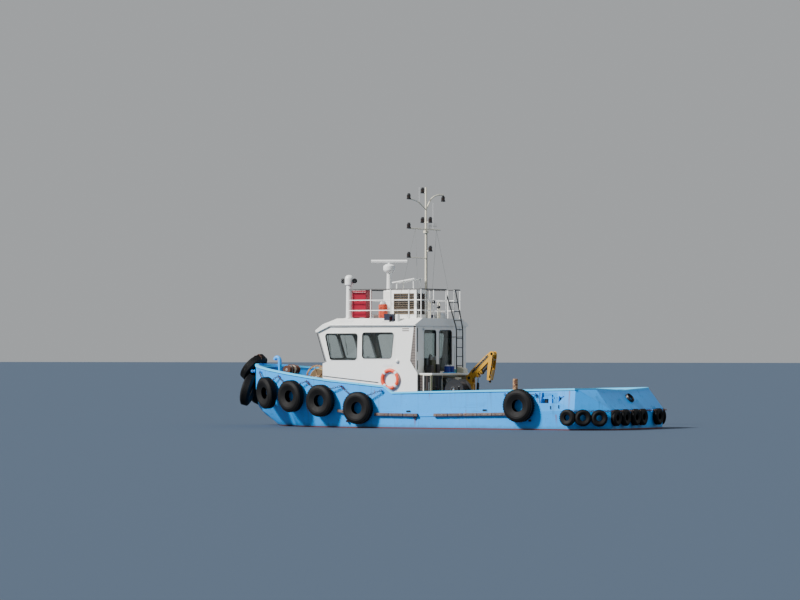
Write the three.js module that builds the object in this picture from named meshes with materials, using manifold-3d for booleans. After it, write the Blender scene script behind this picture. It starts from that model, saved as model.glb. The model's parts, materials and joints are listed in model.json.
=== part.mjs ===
// A small harbour tug: steel hull with hard chines, bulwarks hung with tyres, a wheelhouse
// forward, a knuckle-boom crane and a tow bitt on the aft deck, twin screws and twin rudders.
// Millimetres. +X to the bow, +Y to port, +Z up, Z = 0 at the waterline.
import * as THREE from 'three';
import { mergeVertices } from 'three/addons/utils/BufferGeometryUtils.js';
import Module from 'manifold-3d';

const wasm = await Module();
wasm.setup();

// Clearance between pieces that touch.
const GAP = 0.3;

// Hull stations, stern to stem. Columns: x, deck half-breadth, deck height, chine
// half-breadth, chine height, keel height.
const STATIONS = [
  [-7480, 1870, 660, 1790, -230, -330],
  [-6560, 2600, 640, 2460, -330, -480],
  [-4000, 2600, 560, 2520, -560, -900],
  [-1000, 2600, 500, 2520, -640, -1300],
  [1500, 2600, 520, 2430, -520, -1420],
  [2600, 2560, 670, 2240, -310, -1420],
  [3500, 2480, 820, 2040, -120, -1400],
  [4500, 2290, 960, 1690, 60, -1250],
  [5300, 1950, 1070, 1270, 210, -820],
  [5900, 1560, 1150, 880, 330, -210],
  [6350, 1130, 1210, 560, 420, 150],
  [6700, 700, 1255, 330, 520, 360],
  [6900, 390, 1280, 200, 640, 560],
  [7000, 130, 1290, 80, 760, 700],
];
const KEEL_HALF = 60;
const SKEG_BOTTOM = -1650;

// Bulwark: plate, cap rail and heights of its head.
const PLATE = 50;
const CAP = { height: 60, over: 30 };
const BREAK = { low: 180, high: 500, lowZ: 1195, highZ: 1400 };
const SEAM_X = 2600;
const QUARTER_X = -6560;
const STERN_HEAD_Z = 1340;
// Head of the bow bulwark at each station: x of the foot, shift of x, half-breadth, height.
const BOW_HEADS = [
  [2600, 0, 2600, 1590],
  [3500, 10, 2530, 1700],
  [4500, 20, 2330, 1830],
  [5300, 40, 1990, 1930],
  [5900, 40, 1590, 2005],
  [6350, 30, 1150, 2050],
  [6700, 10, 690, 2085],
  [6900, -10, 360, 2105],
  [7000, -20, 140, 2110],
];

// Mooring port cut in each side bulwark near the quarter.
const PORT_CUT = { x: [-5950, -5300], z: [860, 1200] };

// Wheelhouse.
const HOUSE = { half: 1700, wall: 60, aft: -200, front: 3400, foot: -250, eaves: 3360 };
const SILL = { x: 3240, z: 2170 };
const BROW = { x: 3570, z: 3160 };
const FLOOR = { z: 1350, thick: 50, aft: 900 };
const ROOF = { top: 3620, flat: 1300, edge: 1760, edgeZ: 3420, frontTop: 3080, brow: 3650 };
const DOOR = { x: [20, 620], z: [660, 2420], lap: 40, thick: 40, hinge: 675, hinges: [900, 1500, 2150] };
const PANE = 8;
const CASING = { x: [-750, -201], y: [-1000, 1600], top: 1800 };

// Under water.
const SHAFT = { y: 1100, z: -1150, radius: 45, from: -2900, to: -5000 };
const SCREW = { radius: 400, hub: 95, length: 330, blades: 4 };
const RUDDER = { x: -5900, top: -680, bottom: -1590, ahead: 200, astern: 420, thick: 60 };

// Tyres hung as fenders.
const BIG_TYRE = { outer: 535, inner: 210, width: 330 };
const SMALL_TYRE = { outer: 270, inner: 110, width: 190 };

// Roof gear and mast.
const RAIL = { half: 1300, front: 2650, aft: -190, top: 4580, tube: 20 };
const LADDER = { y: [-390, -810], x: -550, tops: [-120, -270], bend: 3450, tube: 18, step: 300 };
const MAST = { x: 400, radius: 45, top: 8000, arm: 6600 };
const RADAR = { x: 1830, y: 0, bar: 610, turned: -60 };

// Aft deck.
const CRANE = { x: -1050, y: -460, turn: 870, pivotZ: 1640, boom: 1170, rise: 43 * Math.PI / 180 };
const OUTER = { length: 880, angle: 219 * Math.PI / 180 };
// Cylinder ends: the foot from the boom's pivot or along the boom, the eye along the boom.
const LIFT = {
  foot: [-250, -660], eye: [260, -160], pin: 18,
  barrelLength: 500, radius: 42, bore: 27, rodLength: 440, rodRadius: 24,
};
const FOLD = {
  foot: [430, -180], lever: 200, leverTurn: 239 * Math.PI / 180, pin: 16,
  barrelLength: 540, radius: 38, bore: 24, rodLength: 520, rodRadius: 21,
};
const PIVOT_PIN = 30;
const TIP_PIN = 28;
const WINCH = { x: -1500, y: [850, 1500], z: 1270, drum: 230, flange: 340, shaft: 44 };
const BITT = { x: -3000, radius: 85, top: 1620, horn: 420, hornZ: 1120 };

// A point on the lifting boom: distance from its pivot and height over its axis, as (x, z).
function onBoom(distance, over) {
  const [c, s] = [Math.cos(CRANE.rise), Math.sin(CRANE.rise)];
  return [CRANE.x - distance * c + over * s, CRANE.pivotZ + distance * s + over * c];
}

const TIP = onBoom(CRANE.boom, 0);
const LIFT_FOOT = [CRANE.x + LIFT.foot[0], CRANE.pivotZ + LIFT.foot[1]];
const LIFT_EYE = onBoom(...LIFT.eye);
const FOLD_FOOT = onBoom(...FOLD.foot);
const FOLD_EYE = onBoom(
  CRANE.boom + FOLD.lever * Math.cos(FOLD.leverTurn), FOLD.lever * Math.sin(FOLD.leverTurn),
);

const PAINT = {
  hull: [0x4bafe6, 0.45], white: [0xe6e6e2, 0.4], cream: [0xd7d2be, 0.5],
  rubber: [0x141416, 0.9], belting: [0x4a3d36, 0.9], steel: [0x8a8378, 0.5, 0.8],
  bronze: [0xa8823c, 0.35, 0.9], glass: [0x5c6e74, 0.1], yellow: [0xb98c1e, 0.5],
  black: [0x1b1c1e, 0.5], red: [0xa0142d, 0.45], orange: [0xb44632, 0.55],
  rust: [0x7c4a2e, 0.8], grey: [0x6d7072, 0.6], rope: [0xa98f63, 0.9],
};

// A closed geometry turned into a solid that can be joined and cut.
function solid(geometry) {
  const bare = geometry.clone();
  bare.deleteAttribute('normal');
  bare.deleteAttribute('uv');
  const merged = mergeVertices(bare, 1e-3);
  const points = merged.attributes.position.array;
  const faces = merged.index.array;
  if (signedVolume(points, faces) < 0) {
    for (let i = 0; i < faces.length; i += 3) {
      [faces[i + 1], faces[i + 2]] = [faces[i + 2], faces[i + 1]];
    }
  }
  return new wasm.Manifold(new wasm.Mesh({
    numProp: 3,
    vertProperties: new Float32Array(points),
    triVerts: new Uint32Array(faces),
  }));
}

function signedVolume(points, faces) {
  const corner = (i) => new THREE.Vector3().fromArray(points, 3 * faces[i]);
  let volume = 0;
  for (let i = 0; i < faces.length; i += 3) {
    volume += corner(i).dot(corner(i + 1).cross(corner(i + 2)));
  }
  return volume / 6;
}

function union(solids) {
  return solids.reduce((whole, next) => whole.add(next));
}

function box([x0, x1], [y0, y1], [z0, z1]) {
  const shape = new THREE.BoxGeometry(x1 - x0, y1 - y0, z1 - z0);
  shape.translate((x0 + x1) / 2, (y0 + y1) / 2, (z0 + z1) / 2);
  return solid(shape);
}

// A round bar or cone from one point to another, turned about itself by an angle.
function rod(from, to, radius, sides = 8, endRadius = radius, turn = 0) {
  const a = new THREE.Vector3(...from);
  const b = new THREE.Vector3(...to);
  const shape = new THREE.CylinderGeometry(
    endRadius, radius, a.distanceTo(b), sides, 1, false, turn,
  );
  const way = b.clone().sub(a).normalize();
  shape.applyQuaternion(new THREE.Quaternion().setFromUnitVectors(new THREE.Vector3(0, 1, 0), way));
  const middle = a.add(b).multiplyScalar(0.5);
  shape.translate(middle.x, middle.y, middle.z);
  return solid(shape);
}

// The hole in which a round bar of as many sides turns: its flats clear the bar's corners.
function bore(from, to, radius, sides) {
  const half = Math.PI / sides;
  const size = (radius + GAP) / Math.cos(half);
  return rod(from, to, size, sides, size, half);
}

function rods(points, radius, sides = 6) {
  const bars = [];
  for (let i = 0; i + 1 < points.length; i++) {
    bars.push(rod(points[i], points[i + 1], radius, sides));
  }
  return union(bars);
}

// How the outline's two axes and the extrusion lie in space, for each extrusion axis.
const FRAMES = {
  x: [[0, 1, 0], [0, 0, 1], [1, 0, 0]],
  y: [[1, 0, 0], [0, 0, 1], [0, -1, 0]],
  z: [[1, 0, 0], [0, 1, 0], [0, 0, 1]],
};

// An outline pushed along an axis. Outlines are (y, z) along x, (x, z) along y, (x, y) along z.
function prism(outline, axis, [from, to]) {
  const shape = new THREE.Shape(outline.map(([a, b]) => new THREE.Vector2(a, b)));
  const body = new THREE.ExtrudeGeometry(shape, { depth: to - from, bevelEnabled: false });
  const basis = FRAMES[axis].map((v) => new THREE.Vector3(...v));
  body.applyMatrix4(new THREE.Matrix4().makeBasis(...basis));
  const start = axis === 'y' ? to : from;
  body.translate(axis === 'x' ? start : 0, axis === 'y' ? start : 0, axis === 'z' ? start : 0);
  return solid(body);
}

// A closed skin through sections that all have the same number of corners.
function loft(sections) {
  const n = sections[0].length;
  const last = (sections.length - 1) * n;
  const index = [];
  for (let i = 0; i < last; i += n) {
    for (let j = 0; j < n; j++) {
      const k = (j + 1) % n;
      index.push(i + j, i + k, i + n + j, i + k, i + n + k, i + n + j);
    }
  }
  for (let j = 1; j + 1 < n; j++) {
    index.push(0, j + 1, j, last, last + j, last + j + 1);
  }
  const skin = new THREE.BufferGeometry();
  skin.setAttribute('position', new THREE.Float32BufferAttribute(sections.flat(2), 3));
  skin.setIndex(index);
  return solid(skin);
}

// A value read from a table of stations by straight lines between them.
function along(table, x, column) {
  const i = Math.min(Math.max(table.findIndex((row) => row[0] >= x), 1), table.length - 1);
  const [a, b] = [table[i - 1], table[i]];
  return a[column] + (b[column] - a[column]) * (x - a[0]) / (b[0] - a[0]);
}

const deckY = (x) => along(STATIONS, x, 1);
const deckZ = (x) => along(STATIONS, x, 2);

// The line of the deck between two places, as (x, z) points.
function deckLine(from, to, lift = GAP) {
  const breaks = STATIONS.map((row) => row[0]).filter((x) => x > from && x < to);
  return [from, ...breaks, to].map((x) => [x, deckZ(x) + lift]);
}

function mirrored(body) {
  return body.mirror([0, 1, 0]);
}

// Hull, with its deck, skeg, shaft bossings and rudder bearings.
function hullBody(grow = 0) {
  const sections = STATIONS.map(([x, dy, dz, cy, cz, kz]) => {
    const ky = Math.min(KEEL_HALF, cy / 2);
    const half = [
      [0, dz + grow], [dy + grow, dz + grow], [cy + grow, cz - grow], [ky + grow, kz - grow],
      [0, kz - grow],
    ];
    return half.map(([y, z]) => [x, y, z]);
  });
  const side = loft(sections);
  return side.add(mirrored(side));
}

function hull() {
  const skeg = prism([
    [-5600, SKEG_BOTTOM], [3000, SKEG_BOTTOM], [4300, -1420], [4300, -1100], [-5600, -500],
  ], 'y', [-KEEL_HALF, KEEL_HALF]);
  const bossing = prism([
    [-200, -700], [SHAFT.from, -700], [SHAFT.from, SHAFT.z - 110],
    [SHAFT.from + 1000, SHAFT.z - 110],
  ], 'y', [SHAFT.y - 90, SHAFT.y + 90]);
  const bearing = rod([RUDDER.x, SHAFT.y, RUDDER.top], [RUDDER.x, SHAFT.y, -300], 90, 12);
  const stem = prism([[6880, 640], [7020, 760], [7040, 1289], [6880, 1270]], 'y', [-45, 45]);
  const side = bossing.add(bearing);
  return union([hullBody(), skeg, stem, side, mirrored(side)]);
}

// Plating between a line of feet and a line of heads, with its cap rail. Each stop has
// foot and head as [x, y, z]; the plate's outer face passes through both.
function plating(stops, grow = 0, square = [true, true]) {
  const outward = (points, i) => {
    const normals = [[i - 1, i], [i, i + 1]]
      .filter(([a, b]) => a >= 0 && b < points.length)
      .map(([a, b]) => new THREE.Vector2(points[b][1] - points[a][1], points[a][0] - points[b][0]))
      .map((v) => v.normalize());
    if (normals.length === 2) {
      const sum = normals[0].clone().add(normals[1]);
      return sum.divideScalar(1 + normals[0].dot(normals[1]));
    }
    const only = normals[0];
    return square[i === 0 ? 0 : 1] ? new THREE.Vector2(0, 1 / only.y) : only;
  };
  const feet = stops.map((stop) => stop.foot);
  const heads = stops.map((stop) => stop.head);
  const move = ([x, y, z], way, by, z1 = z) => [x + way.x * by, y + way.y * by, z1];
  const plate = stops.map((stop, i) => {
    const [f, h] = [outward(feet, i), outward(heads, i)];
    return [
      move(stop.foot, f, grow), move(stop.head, h, grow),
      move(stop.head, h, -PLATE - grow), move(stop.foot, f, -PLATE - grow),
    ];
  });
  const cap = stops.map((stop, i) => {
    const h = outward(heads, i);
    const [top, low] = [stop.head[2] + grow, stop.head[2] - CAP.height - grow];
    const [out, back] = [CAP.over + grow, -PLATE - CAP.over - grow];
    return [
      move(stop.head, h, out, low), move(stop.head, h, out, top),
      move(stop.head, h, back, top), move(stop.head, h, back, low),
    ];
  });
  return loft(plate).add(loft(cap));
}

function bowStops() {
  return BOW_HEADS.map(([x, shift, y, z]) => ({
    foot: [x + (x === SEAM_X ? GAP : 0), deckY(x), deckZ(x) + GAP],
    head: [x + shift + (x === SEAM_X ? GAP : 0), y, z],
  })).reverse();
}

function bulwarkBow(grow = 0) {
  const side = plating(bowStops(), grow, [false, true]);
  const post = prism([
    [6910, 1291], [7040 + grow, 1291], [7025 + grow, 2110 + grow], [6930, 2110 + grow],
  ], 'y', [-156 - grow, 156 + grow]);
  const breast = prism([
    [6350, -1120], [6350, 1120], [6700, 660], [6950, 150], [6950, -150], [6700, -660],
  ], 'z', [1985, 2035]);
  return union([side, mirrored(side), post, breast]);
}

// Stops of the side bulwark: height of the head steps down behind the wheelhouse.
function sideStops() {
  const sternSlope = (STERN_HEAD_Z - BREAK.lowZ) / (QUARTER_X - BREAK.low);
  const headZ = (x) => {
    if (x >= BREAK.high) {
      const rise = (BOW_HEADS[0][3] - BREAK.highZ) / (SEAM_X - BREAK.high);
      return BREAK.highZ + (x - BREAK.high) * rise;
    }
    return BREAK.lowZ + (x - BREAK.low) * sternSlope;
  };
  const stops = [SEAM_X, 1500, BREAK.high, BREAK.low, -1000, -4000, -5200, QUARTER_X];
  return stops.map((x) => {
    const end = x === QUARTER_X;
    const headY = x === SEAM_X ? 2600 : deckY(x) - (end ? 90 : 0);
    return { foot: [x, deckY(x), deckZ(x) + GAP], head: [x, headY, headZ(x)] };
  });
}

function bulwarkPort(grow = 0) {
  const openings = [
    box(PORT_CUT.x, [2300, 2700], PORT_CUT.z),
    prism([[-5990, 880], [-5990, 1090], [-6190, 1090]], 'y', [2300, 2700]),
  ];
  const wall = plating(sideStops(), grow);
  if (grow) {
    return wall;
  }
  const fairlead = union([
    box([-5960, -5290], [2440, 2560], [800, 859]),
    box([-5700, -5580], [2400, 2500], [800, 1130]),
    box([-5760, -5300], [2430, 2480], [1000, 1050]),
  ]);
  return wall.subtract(union(openings)).add(fairlead);
}

// Transom and quarters: the head leans forward over the knuckle at the deck.
function bulwarkStern(grow = 0) {
  const quarter = {
    foot: [QUARTER_X - GAP, 2600, 640 + GAP], head: [QUARTER_X - GAP, 2510, STERN_HEAD_Z],
  };
  const corner = { foot: [-7480, 1870, 660 + GAP], head: [-6930, 1870, STERN_HEAD_Z] };
  const middle = { foot: [-7480, 0, 660 + GAP], head: [-6950, 0, STERN_HEAD_Z - 70] };
  const side = plating([quarter, corner, middle], grow, [true, false]);
  const wall = side.add(mirrored(side));
  const fairlead = rod([-7600, 0, 1000], [-6900, 0, 1000], 130, 12);
  return grow ? wall : wall.subtract(fairlead);
}

// Rubber belting in blocks on a flat bar along the deck edge. Columns: block ends aft and fore.
const BELTING_BLOCKS = [[-4150, -1420], [-830, 820], [1960, 2260]];

function belting() {
  const strip = (from, to, out, half) => {
    const breaks = STATIONS.map((row) => row[0]).filter((x) => x > from && x < to);
    return loft([from, ...breaks, to].map((x) => {
      const [y, z] = [deckY(x) + GAP, deckZ(x) - 60];
      return [[x, y, z - half], [x, y + out, z - half], [x, y + out, z + half], [x, y, z + half]];
    }));
  };
  const blocks = BELTING_BLOCKS.map(([from, to]) => strip(from, to, 90, 55));
  return union([strip(-4150, 2380, 12, 40), ...blocks]);
}

// A tyre as a ring of six-sided section, lying square to the way it faces.
function tyre(centre, facing, size) {
  const { outer, inner, width } = size;
  const [w, shoulder] = [width / 2, (outer - inner) * 0.3];
  const tread = size === SMALL_TYRE ? [[outer, 0]] : [[outer, -w * 0.6], [outer, w * 0.6]];
  const section = [
    [inner, -w * 0.55], [outer - shoulder, -w], ...tread, [outer - shoulder, w],
    [inner, w * 0.55], [inner, -w * 0.55],
  ];
  const segments = size === SMALL_TYRE ? 10 : 16;
  const ring = new THREE.LatheGeometry(section.map(([r, y]) => new THREE.Vector2(r, y)), segments);
  const way = new THREE.Vector3(...facing).normalize();
  ring.applyQuaternion(new THREE.Quaternion().setFromUnitVectors(new THREE.Vector3(0, 1, 0), way));
  ring.translate(...centre);
  return solid(ring);
}

// Forward tyres, port side. Columns: centre x, y, z, then the way the tyre faces.
const SIDE_TYRES = [
  [1370, 2790, 660, 0, 1, 0],
  [2857, 2735, 890, 0.1, 1, -0.02],
  [4119, 2555, 1030, 0.25, 1, -0.05],
  [5368, 2110, 1130, 0.55, 1, -0.1],
];

// A chain as a thin bar from a tyre up to its padeye.
function chain(from, to) {
  return rod(from, to, 22, 4);
}

function headAt(x, drop) {
  const bow = x > SEAM_X;
  const foot = [x, deckY(x), deckZ(x)];
  const shift = bow ? along(BOW_HEADS, x, 1) : 0;
  const y = bow ? along(BOW_HEADS, x, 2) : deckY(x);
  const z = bow ? along(BOW_HEADS, x, 3) : sideHeadZ(x);
  const part = (z - drop - foot[2]) / (z - foot[2]);
  return [x + shift * part, foot[1] + (y - foot[1]) * part, z - drop];
}

function sideHeadZ(x) {
  const stops = sideStops().map((stop) => [stop.head[0], stop.head[2]]).reverse();
  return along(stops, x, 1);
}

// Padeye places between the tyres, and at both ends of the row.
const PADEYES = [560, 2080, 3475, 4760, 5860];

// The way out from the deck edge at a place along the port side, as (x, y).
function outwardAt(x) {
  const slope = (deckY(x + 50) - deckY(x - 50)) / 100;
  const length = Math.hypot(slope, 1);
  return [-slope / length, 1 / length];
}

function sideTyres() {
  const parts = SIDE_TYRES.map(([x, y, z, ...facing]) => tyre([x, y, z], facing, BIG_TYRE));
  PADEYES.forEach((x, i) => {
    const [ex, ey, ez] = headAt(x, 170);
    const [nx, ny] = outwardAt(x);
    const out = (reach) => [ex + nx * reach, ey + ny * reach, ez];
    parts.push(rod(out(-20), out(120), 42, 6));
    for (const k of [i - 1, i]) {
      if (SIDE_TYRES[k]) {
        const [tx, ty, tz, fx, fy] = SIDE_TYRES[k];
        const [cos, sin] = [fy / Math.hypot(fx, fy), fx / Math.hypot(fx, fy)];
        const lean = Math.sign(ex - tx) * 210;
        parts.push(chain(out(90), [tx + lean * cos, ty - lean * sin, tz + 380]));
      }
    }
  });
  return union(parts);
}

// Aft tyre on each side, hung a little off the plating from two eyes.
function aftTyre() {
  const centre = [-4636, 2775, 777];
  const parts = [tyre(centre, [0, 1, 0], BIG_TYRE)];
  for (const x of [-5190, -4080]) {
    parts.push(rod([x, 2580, 1140], [x, 2690, 1140], 40, 6));
    parts.push(chain([x, 2665, 1140], [centre[0] + Math.sign(x - centre[0]) * 260, 2745, 1130]));
  }
  return union(parts);
}

// Tyres round the stem. Columns: centre x, y, z, then the way the tyre faces.
const STEM_TYRES = [
  [7237, 0, 1978, 0.74, 0.05, 0.67],
  [7170, 470, 1200, 0.89, 0.34, 0.25],
  [7170, -470, 1200, 0.89, -0.34, 0.25],
];

function stemTyres() {
  const parts = STEM_TYRES.map(([x, y, z, ...facing]) => tyre([x, y, z], facing, BIG_TYRE));
  for (const y of [-330, 330]) {
    parts.push(chain([7200, y, 1800], [7120, y * 1.2, 1500]));
    parts.push(chain([7150, y * 0.9, 1850], [6780, y * 2.2, 1850]));
  }
  parts.push(chain([7140, 400, 1450], [7140, -400, 1450]));
  return union(parts);
}

// Small tyres round the port quarter. Columns: x, y, z, then the way each faces.
const QUARTER_TYRES = [
  [-6371, 2712, 410, 0, 1, 0],
  [-6829, 2530, 400, -0.79, 1, 0],
  [-7243, 2201, 390, -0.79, 1, 0],
];
// Places across the transom of the small tyres there.
const TRANSOM_TYRES = [1660, 1010, 300, -210, -1340];
const TRANSOM_TYRE_X = -7575;

function sternTyres() {
  const quarter = QUARTER_TYRES.map(([x, y, z, ...facing]) => tyre([x, y, z], facing, SMALL_TYRE));
  const transom = TRANSOM_TYRES.map((y) => tyre([TRANSOM_TYRE_X, y, 400], [-1, 0, 0], SMALL_TYRE));
  const swag = rods([
    [-6180, 2660, 610], ...QUARTER_TYRES.map(([x, y, z]) => [x, y, z + 215]),
    [TRANSOM_TYRE_X, 1930, 610], [TRANSOM_TYRE_X, 0, 610],
  ], 22, 4);
  const ties = [
    rod([-6180, 2560, 610], [-6180, 2700, 610], 35, 6),
    rod([-7440, 900, 600], [TRANSOM_TYRE_X - 30, 900, 600], 35, 6),
  ];
  const side = union([...quarter, swag, ...ties]);
  return union([side, mirrored(side), ...transom]);
}

// Side wall of the wheelhouse, with its windows and the recess for the louvre at its aft edge.
const WINDOWS = [
  [[3330, 3120], [2030, 3120], [2070, 2230], [3110, 2230]],
  [[1860, 3150], [630, 3150], [730, 2280], [1870, 2280]],
];

function houseSide(withDoor) {
  const inner = HOUSE.half - HOUSE.wall;
  const top = HOUSE.eaves - GAP;
  const outline = [
    ...deckLine(HOUSE.foot, HOUSE.front),
    [HOUSE.front, SILL.z - 50], [SILL.x, SILL.z], [BROW.x, BROW.z - GAP], [3120, top],
    [-160, top], [-60, 2600], [-60, 2250], [HOUSE.foot, CASING.top],
  ];
  const wall = prism(outline, 'y', [inner, HOUSE.half]);
  const cuts = WINDOWS.map((points) => prism(points, 'y', [inner - 100, HOUSE.half + 100]));
  if (!withDoor) {
    return wall.subtract(union(cuts));
  }
  const doorway = box(DOOR.x, [inner - 100, HOUSE.half + 100], DOOR.z);
  const lugs = DOOR.hinges.map((z) => union([
    box([DOOR.hinge - 12, DOOR.hinge + 75], [HOUSE.half - 5, HOUSE.half + 40], [z + 62, z + 92]),
    box([DOOR.hinge - 12, DOOR.hinge + 75], [HOUSE.half - 5, HOUSE.half + 40], [z - 92, z - 62]),
  ]));
  return union([wall.subtract(union([...cuts, doorway])), ...lugs]);
}

// The weathertight door lies on the outside of the wall, round its opening.
function door() {
  const face = HOUSE.half + 3;
  const panel = box(
    [DOOR.x[0] - DOOR.lap, DOOR.hinge - 30], [face, face + DOOR.thick],
    [DOOR.z[0] - DOOR.lap, DOOR.z[1] + DOOR.lap],
  );
  const port = rod([320, face - 10, 2050], [320, face + 60, 2050], 130, 16);
  const knuckles = DOOR.hinges.map((z) => union([
    rod([DOOR.hinge, face + 20, z - 62 + GAP], [DOOR.hinge, face + 20, z + 62 - GAP], 16, 8),
    box([DOOR.hinge - 60, DOOR.hinge], [face + 8, face + 32], [z - 50, z + 50]),
  ]));
  const handle = rods([[90, face + 20, 1500], [90, face + 80, 1500], [230, face + 80, 1500]], 14);
  return union([panel.subtract(port), handle, ...knuckles]);
}

// Windows across the front. Columns: y from, y to.
const FRONT_WINDOWS = [[-1520, -600], [-490, 490], [600, 1520]];

function houseFront() {
  const [half, t] = [HOUSE.half - HOUSE.wall - GAP, HOUSE.wall];
  const wall = prism([
    [HOUSE.front, deckZ(HOUSE.front) + GAP], [HOUSE.front, SILL.z - 50], [SILL.x, SILL.z],
    [BROW.x, BROW.z - GAP], [BROW.x - t, BROW.z + 30 - GAP], [SILL.x - t, SILL.z - 30],
    [HOUSE.front - t, SILL.z - 90], [HOUSE.front - t, deckZ(HOUSE.front - t) + GAP],
  ], 'y', [-half, half]);
  const cuts = FRONT_WINDOWS.map((span) => box([3000, 3800], span, [2270, 3080]));
  return wall.subtract(union(cuts));
}

// Windows in the aft wall. Columns: y from, y to.
const AFT_WINDOWS = [[370, 1170], [-670, 170]];

function houseAft() {
  const half = HOUSE.half - HOUSE.wall - GAP;
  const [x0, x1] = [HOUSE.aft, HOUSE.aft + HOUSE.wall];
  const top = HOUSE.eaves - GAP;
  const wall = prism([...deckLine(x0, x1), [x1, top], [x0, top]], 'y', [-half, half]);
  return wall.subtract(union(AFT_WINDOWS.map((span) => box([-400, 0], span, [1870, 3230]))));
}

function houseFloor() {
  const half = HOUSE.half - HOUSE.wall - GAP;
  const end = HOUSE.front - HOUSE.wall - GAP;
  const floor = box([FLOOR.aft, end], [-half, half], [FLOOR.z - FLOOR.thick, FLOOR.z]);
  const riser = prism([
    ...deckLine(FLOOR.aft, FLOOR.aft + 50),
    [FLOOR.aft + 50, FLOOR.z - 10], [FLOOR.aft, FLOOR.z - 10],
  ], 'y', [-half, half]);
  const step = prism([
    ...deckLine(620, FLOOR.aft + 10), [FLOOR.aft + 10, 950], [620, 950],
  ], 'y', [-400, 400]);
  return union([floor, riser, step]);
}

// Roof: a crowned slab with chamfered sides and a sloping brow over the front windows.
function houseRoof() {
  const below = BROW.z - 100;
  const across = prism([
    [-ROOF.edge, below], [ROOF.edge, below], [ROOF.edge, ROOF.edgeZ],
    [ROOF.flat, ROOF.top], [-ROOF.flat, ROOF.top], [-ROOF.edge, ROOF.edgeZ],
  ], 'x', [-400, 3800]);
  const lengthways = prism([
    [-230, HOUSE.eaves], [3120, HOUSE.eaves], [BROW.x + 10, BROW.z], [ROOF.brow, BROW.z],
    [ROOF.brow, BROW.z + 70], [ROOF.frontTop, ROOF.top], [-230, ROOF.top],
  ], 'y', [-2000, 2000]);
  return across.intersect(lengthways);
}

function glassSide() {
  const face = HOUSE.half - HOUSE.wall - GAP;
  const outline = [[3370, 3160], [590, 3190], [690, 2240], [2000, 2190], [3140, 2190]];
  return prism(outline, 'y', [face - PANE, face]);
}

function glassFront() {
  const lean = (BROW.x - SILL.x) / (BROW.z - SILL.z + 60);
  const at = (z) => SILL.x - HOUSE.wall + (z - SILL.z + 30) * lean - GAP * 2;
  return prism([
    [at(2230), 2230], [at(3100), 3100], [at(3100) - PANE, 3100], [at(2230) - PANE, 2230],
  ], 'y', [-1560, 1560]);
}

function glassAft() {
  const face = HOUSE.aft + HOUSE.wall + GAP;
  return box([face, face + PANE], [-710, 1210], [1830, 3270]);
}

function helmConsole() {
  return prism([
    [2350, FLOOR.z + GAP], [3200, FLOOR.z + GAP], [3100, 2120], [2700, 2260], [2450, 2180],
  ], 'y', [-900, 900]);
}

function helmSeat() {
  return union([
    rod([1750, 0, FLOOR.z + GAP], [1750, 0, 1800], 60, 8),
    box([1550, 1950], [-220, 220], [FLOOR.z + GAP, 1400]),
    box([1500, 2000], [-250, 250], [1790, 1920]),
    prism([[1470, 1850], [1600, 1850], [1500, 2620], [1400, 2620]], 'y', [-240, 240]),
  ]);
}

// Casing behind the wheelhouse: an open-fronted locker under a plated top.
function aftCasing() {
  const [x0, x1] = [CASING.x[0], HOUSE.aft - GAP];
  const [y0, y1] = CASING.y;
  const base = prism([...deckLine(x0, x1), [x1, CASING.top], [x0, CASING.top]], 'y', [y0, y1]);
  const bay = box([x0 - 100, x1 - 120], [y0 + 80, y1 - 700], [700, CASING.top - 70]);
  return base.subtract(bay);
}

// Roof rail: side, front and aft rails on posts. The aft rail turns down into the ladder.
function roofRail() {
  const { half, front, aft, top, tube } = RAIL;
  const foot = ROOF.top + GAP;
  const parts = [];
  for (const side of [-1, 1]) {
    const y = side * half;
    parts.push(rod([front, y, top], [aft, y, top], tube, 4));
    parts.push(rod([front, y, 4220], [aft, y, 4220], tube * 0.7, 4));
    parts.push(rod([front, y, 3880], [aft, y, 3880], tube * 0.7, 4));
    for (const x of [front - 20, 1770, 1000, 300, aft + 20]) {
      parts.push(rod([x, y, foot], [x, y, top], tube, 4));
    }
  }
  for (const z of [top, 4220]) {
    parts.push(rod([front, -half, z], [front, half, z], tube, 4));
  }
  for (const z of [top, 4220, 3880]) {
    parts.push(rod([aft, half, z], [aft, LADDER.y[0] + 60, z], tube, 4));
    parts.push(rod([aft, LADDER.y[1] - 60, z], [aft, -half, z], tube, 4));
  }
  for (const y of [LADDER.y[0] + 60, LADDER.y[1] - 60, 500]) {
    parts.push(rod([aft, y, foot], [aft, y, top], tube, 4));
  }
  return union(parts);
}

// Ladder: upright from the casing, then raked in over the roof's edge. Its line as (z, x).
function stileLine(top) {
  return [[CASING.top + GAP, LADDER.x], [LADDER.bend, LADDER.x], [4570, top]];
}

function roofLadder() {
  const lines = LADDER.tops.map(stileLine);
  const parts = lines.map((line, i) => (
    rods(line.map(([z, x]) => [x, LADDER.y[i], z]), LADDER.tube, 4)
  ));
  for (let z = CASING.top + 250; z < 4400; z += LADDER.step) {
    const [a, b] = lines.map((line, i) => [along(line, z, 1), LADDER.y[i], z]);
    parts.push(rod(a, b, 12, 4));
  }
  return union(parts);
}

// Louvred housing on the roof, with a tilted panel on legs above it.
function ventHousing() {
  const foot = ROOF.top + GAP;
  const body = box([330, 1300], [100, 750], [foot, 4550]);
  const recesses = union([
    box([420, 1210], [735, 800], [3750, 4450]), box([300, 345], [170, 680], [3750, 4450]),
  ]);
  const legs = [[500, 4930], [1150, 4850]].flatMap(([x, z]) => (
    [200, 650].map((y) => rod([x, y, 4500], [x, y, z], 18))
  ));
  const panel = prism([[430, 4920], [1300, 4790], [1300, 4830], [430, 4960]], 'y', [130, 720]);
  return union([body.subtract(recesses), panel, ...legs]);
}

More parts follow.
